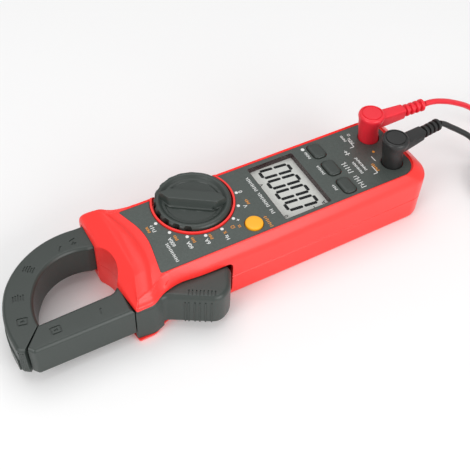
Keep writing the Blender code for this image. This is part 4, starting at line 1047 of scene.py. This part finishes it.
def coil_points(centre, first_angle, turns):
    """A coil in two layers, wound clockwise: inwards below, up, and outwards on top."""
    points_per_turn = 20
    steps = 3
    low_z, high_z = COIL_LAYERS_Z
    count = round(turns * points_per_turn)
    points = []
    for index in range(count + 1):
        phase = turns * index / count
        inwards = sum(ramp(phase, 0.9 + turn) for turn in range(steps))
        outwards = sum(ramp(phase, turns - 3.0 + turn) for turn in range(steps))
        radius = COIL_OUTER_TURN - COIL_PITCH * (inwards - outwards)
        z = low_z + (high_z - low_z) * ramp(phase, (2.9 + turns - 3.0) / 2, 0.22)
        angle = math.radians(first_angle) - 2 * math.pi * phase
        points.append((centre[0] + radius * math.cos(angle), centre[1] + radius * math.sin(angle), z))
    return points


def make_cord(colour, start, coil, first_angle, turns, tail, looks):
    x, y = PROBE_PLACES[colour]
    inside = [(x + depth, y, PROBE_Z + depth * math.sin(PROBE_TILT)) for depth in PROBE_CORD]
    points = list(start) + coil_points(coil, first_angle, turns) + list(tail) + inside
    curve = bpy.data.curves.new(colour + "_cord", "CURVE")
    curve.dimensions = "3D"
    curve.bevel_depth = CORD_RADIUS * MM
    curve.bevel_resolution = 5
    curve.resolution_u = 6
    curve.use_fill_caps = True
    spline = curve.splines.new("BEZIER")
    spline.bezier_points.add(len(points) - 1)
    for bezier_point, place in zip(spline.bezier_points, points):
        bezier_point.co = Vector(place) * MM
        bezier_point.handle_left_type = "AUTO"
        bezier_point.handle_right_type = "AUTO"
    cord = new_object(colour + "_cord", curve)
    curve.materials.append(looks[colour + "_lead"])
    nodes = [colour + part for part in ("_lead", "_lead_tail", "_coil")]
    return settle(cord, "housing", colour + "_lead", *nodes)


def make_probe(colour, looks):
    x, y = PROBE_PLACES[colour]
    lie = lie_at(x, y, 0.0, PROBE_Z) @ Matrix.Rotation(math.pi / 2 - PROBE_TILT, 4, "Y")
    profile = [(1.9, 0.0), (2.4, 0.3)]
    for rib in range(5):
        start = 1.2 + 2.4 * rib
        swell = 2.9 + 0.18 * rib
        profile += [(swell - 0.5, start), (swell, start + 0.2), (swell, start + 1.3)]
        profile.append((swell - 0.5, start + 1.5))
    profile += [(3.6, 14.0), (4.1, 20.0)]
    for rib in range(14):
        start = 22.0 + 3.6 * rib
        swell = 4.25 + 0.5 * math.sin(math.pi * (rib + 2) / 17)
        profile += [(swell, start), (swell, start + 2.2)]
        profile += [(swell - 0.35, start + 2.6), (swell - 0.35, start + 3.2)]
    profile += [
        (4.6, 77.0), (4.6, 82.0), (5.2, 84.2), (6.0, 85.4), (6.2, 86.2), (6.2, 88.2), (5.9, 88.9),
        (4.4, 89.5), (4.0, 91.0), (3.5, 97.6), (3.2, 98.0),
    ]
    body = moved(turned(profile, segments=40), lie)
    handle = make_piece(colour + "_handle", body, looks[colour + "_lead"])
    combine(handle, [moved(prism(circle((0.0, 0.0), 1.35, 20), 80.0, 99.0), lie)])
    soften(handle, 0.0, sharp=40)
    settle(handle, "housing", colour + "_lead", colour + "_probe_handle")
    profile = ((1.05, 80.3), (1.05, 113.0), (0.9, 114.6), (0.5, 116.3), (0.15, 117.0))
    point = make_piece(colour + "_tip", moved(turned(profile, segments=28), lie), looks["steel"])
    soften(point, 0.0, sharp=50)
    settle(point, "housing", "steel", colour + "_probe_tip")
    return [handle, point]


def make_tie(colour, centre, angle, looks):
    """A band round one side of the coil, with its ends twisted together on top."""
    lie = lie_at(*centre, angle) @ UPRIGHT
    loop_low, loop_high = 8.9, 23.9

    def band_ring(margin, y):
        ring = rectangle(loop_low + margin, loop_high - margin, 0.02 + margin, 8.2 - margin, 3.2 - margin, 6)
        return [Vector((point.x, point.y, y)) for point in ring]

    outer = loft([band_ring(0.25, -3.0), band_ring(0.0, -2.6), band_ring(0.0, 2.6), band_ring(0.25, 3.0)])
    tie = make_piece(colour + "_tie", moved(outer, lie), looks["black_plastic"])
    hollow = loft([band_ring(0.6, -5.0), band_ring(0.6, 5.0)])
    combine(tie, [moved(hollow, lie)])
    soften(tie, 0.1, 1)
    return settle(tie, "housing", "black_plastic", colour + "_coil_tie")


def make_leads(looks):
    red = make_cord("red", RED_START, RED_COIL, 90.0, 7.25, RED_TAIL, looks)
    black = make_cord("black", BLACK_START, BLACK_COIL, 65.0, 7.125, BLACK_TAIL, looks)
    rest = (
        ("red", red, JACK_Y, -2.0, 0.0, RED_COIL, 180.0),
        ("black", black, -JACK_Y, 10.0, 4.0, BLACK_COIL, 215.0),
    )
    for colour, cord, y, heading, droop, coil, tie_angle in rest:
        plug = make_plug(colour, y, heading, droop, looks)
        tie = make_tie(colour, coil, tie_angle, looks)
        probe = make_probe(colour, looks)


# Stage ----------------------------------------------------------------------------------------------

def add_camera():
    azimuth = math.radians(CAMERA_AZIMUTH)
    elevation = math.radians(CAMERA_ELEVATION)
    level_share = math.cos(elevation)
    back = Vector((math.sin(azimuth) * level_share, -math.cos(azimuth) * level_share, math.sin(elevation)))
    data = bpy.data.cameras.new("camera")
    data.lens = CAMERA_LENS
    data.sensor_width = 36.0
    data.clip_start = 0.01
    camera = new_object("camera", data)
    camera.rotation_mode = "QUATERNION"
    camera.location = Vector(CAMERA_PLACE) * MM
    roll = Quaternion((0, 0, 1), math.radians(CAMERA_ROLL))
    camera.rotation_quaternion = (-back).to_track_quat("-Z", "Y") @ roll
    bpy.context.scene.camera = camera


def add_light(name, place, target, size, power):
    data = bpy.data.lights.new(name, "AREA")
    data.size = size
    data.energy = power
    light = new_object(name, data)
    light.location = place
    light.rotation_mode = "QUATERNION"
    light.rotation_quaternion = (Vector(target) - Vector(place)).to_track_quat("-Z", "Y")


def add_stage():
    """A pale floor that runs past every view, even light from all round and three soft boxes."""
    bm = bmesh.new()
    corners = ((-1, -1, 0), (1, -1, 0), (1, 1, 0), (-1, 1, 0))
    bm.faces.new([bm.verts.new(Vector(corner) * FLOOR_HALF) for corner in corners])
    look = add_look("floor", (0.86, 0.86, 0.86), 0.8, grain=60.0, grain_depth=0.0, mottle=0.0)
    floor = make_piece("floor", bm, look)
    floor.location.z = FLOOR_Z * MM
    world = bpy.data.worlds.new("studio")
    world.use_nodes = True
    background = world.node_tree.nodes["Background"]
    background.inputs["Color"].default_value = (1.0, 1.0, 1.0, 1.0)
    background.inputs["Strength"].default_value = WORLD_STRENGTH
    bpy.context.scene.world = world
    add_light("top_box", (0.05, 0.25, 1.1), (0.0, 0.0, 0.0), 0.9, 4.5)
    add_light("left_box", (-0.9, -0.35, 0.6), (-0.03, 0.0, 0.0), 0.5, 4.0)
    add_light("front_box", (0.25, -1.0, 0.45), (0.0, 0.0, 0.0), 0.7, 6.5)
    bpy.context.scene.view_settings.view_transform = "Standard"


def main():
    add_camera()
    looks = make_looks()
    make_leads(looks)
    for entry in frame["record"]["subparts"]:
        node = frame["nodes"][entry["node"]]
        node.data.materials.clear()
        node.data.materials.append(looks[entry["material_slot"]])
    make_front(looks)
    make_back(looks)
    make_panel(looks)
    make_display(looks)
    make_print()
    make_keys(looks)
    make_dial(looks)
    make_jaws(looks)
    make_trigger(looks)
    add_stage()


main()
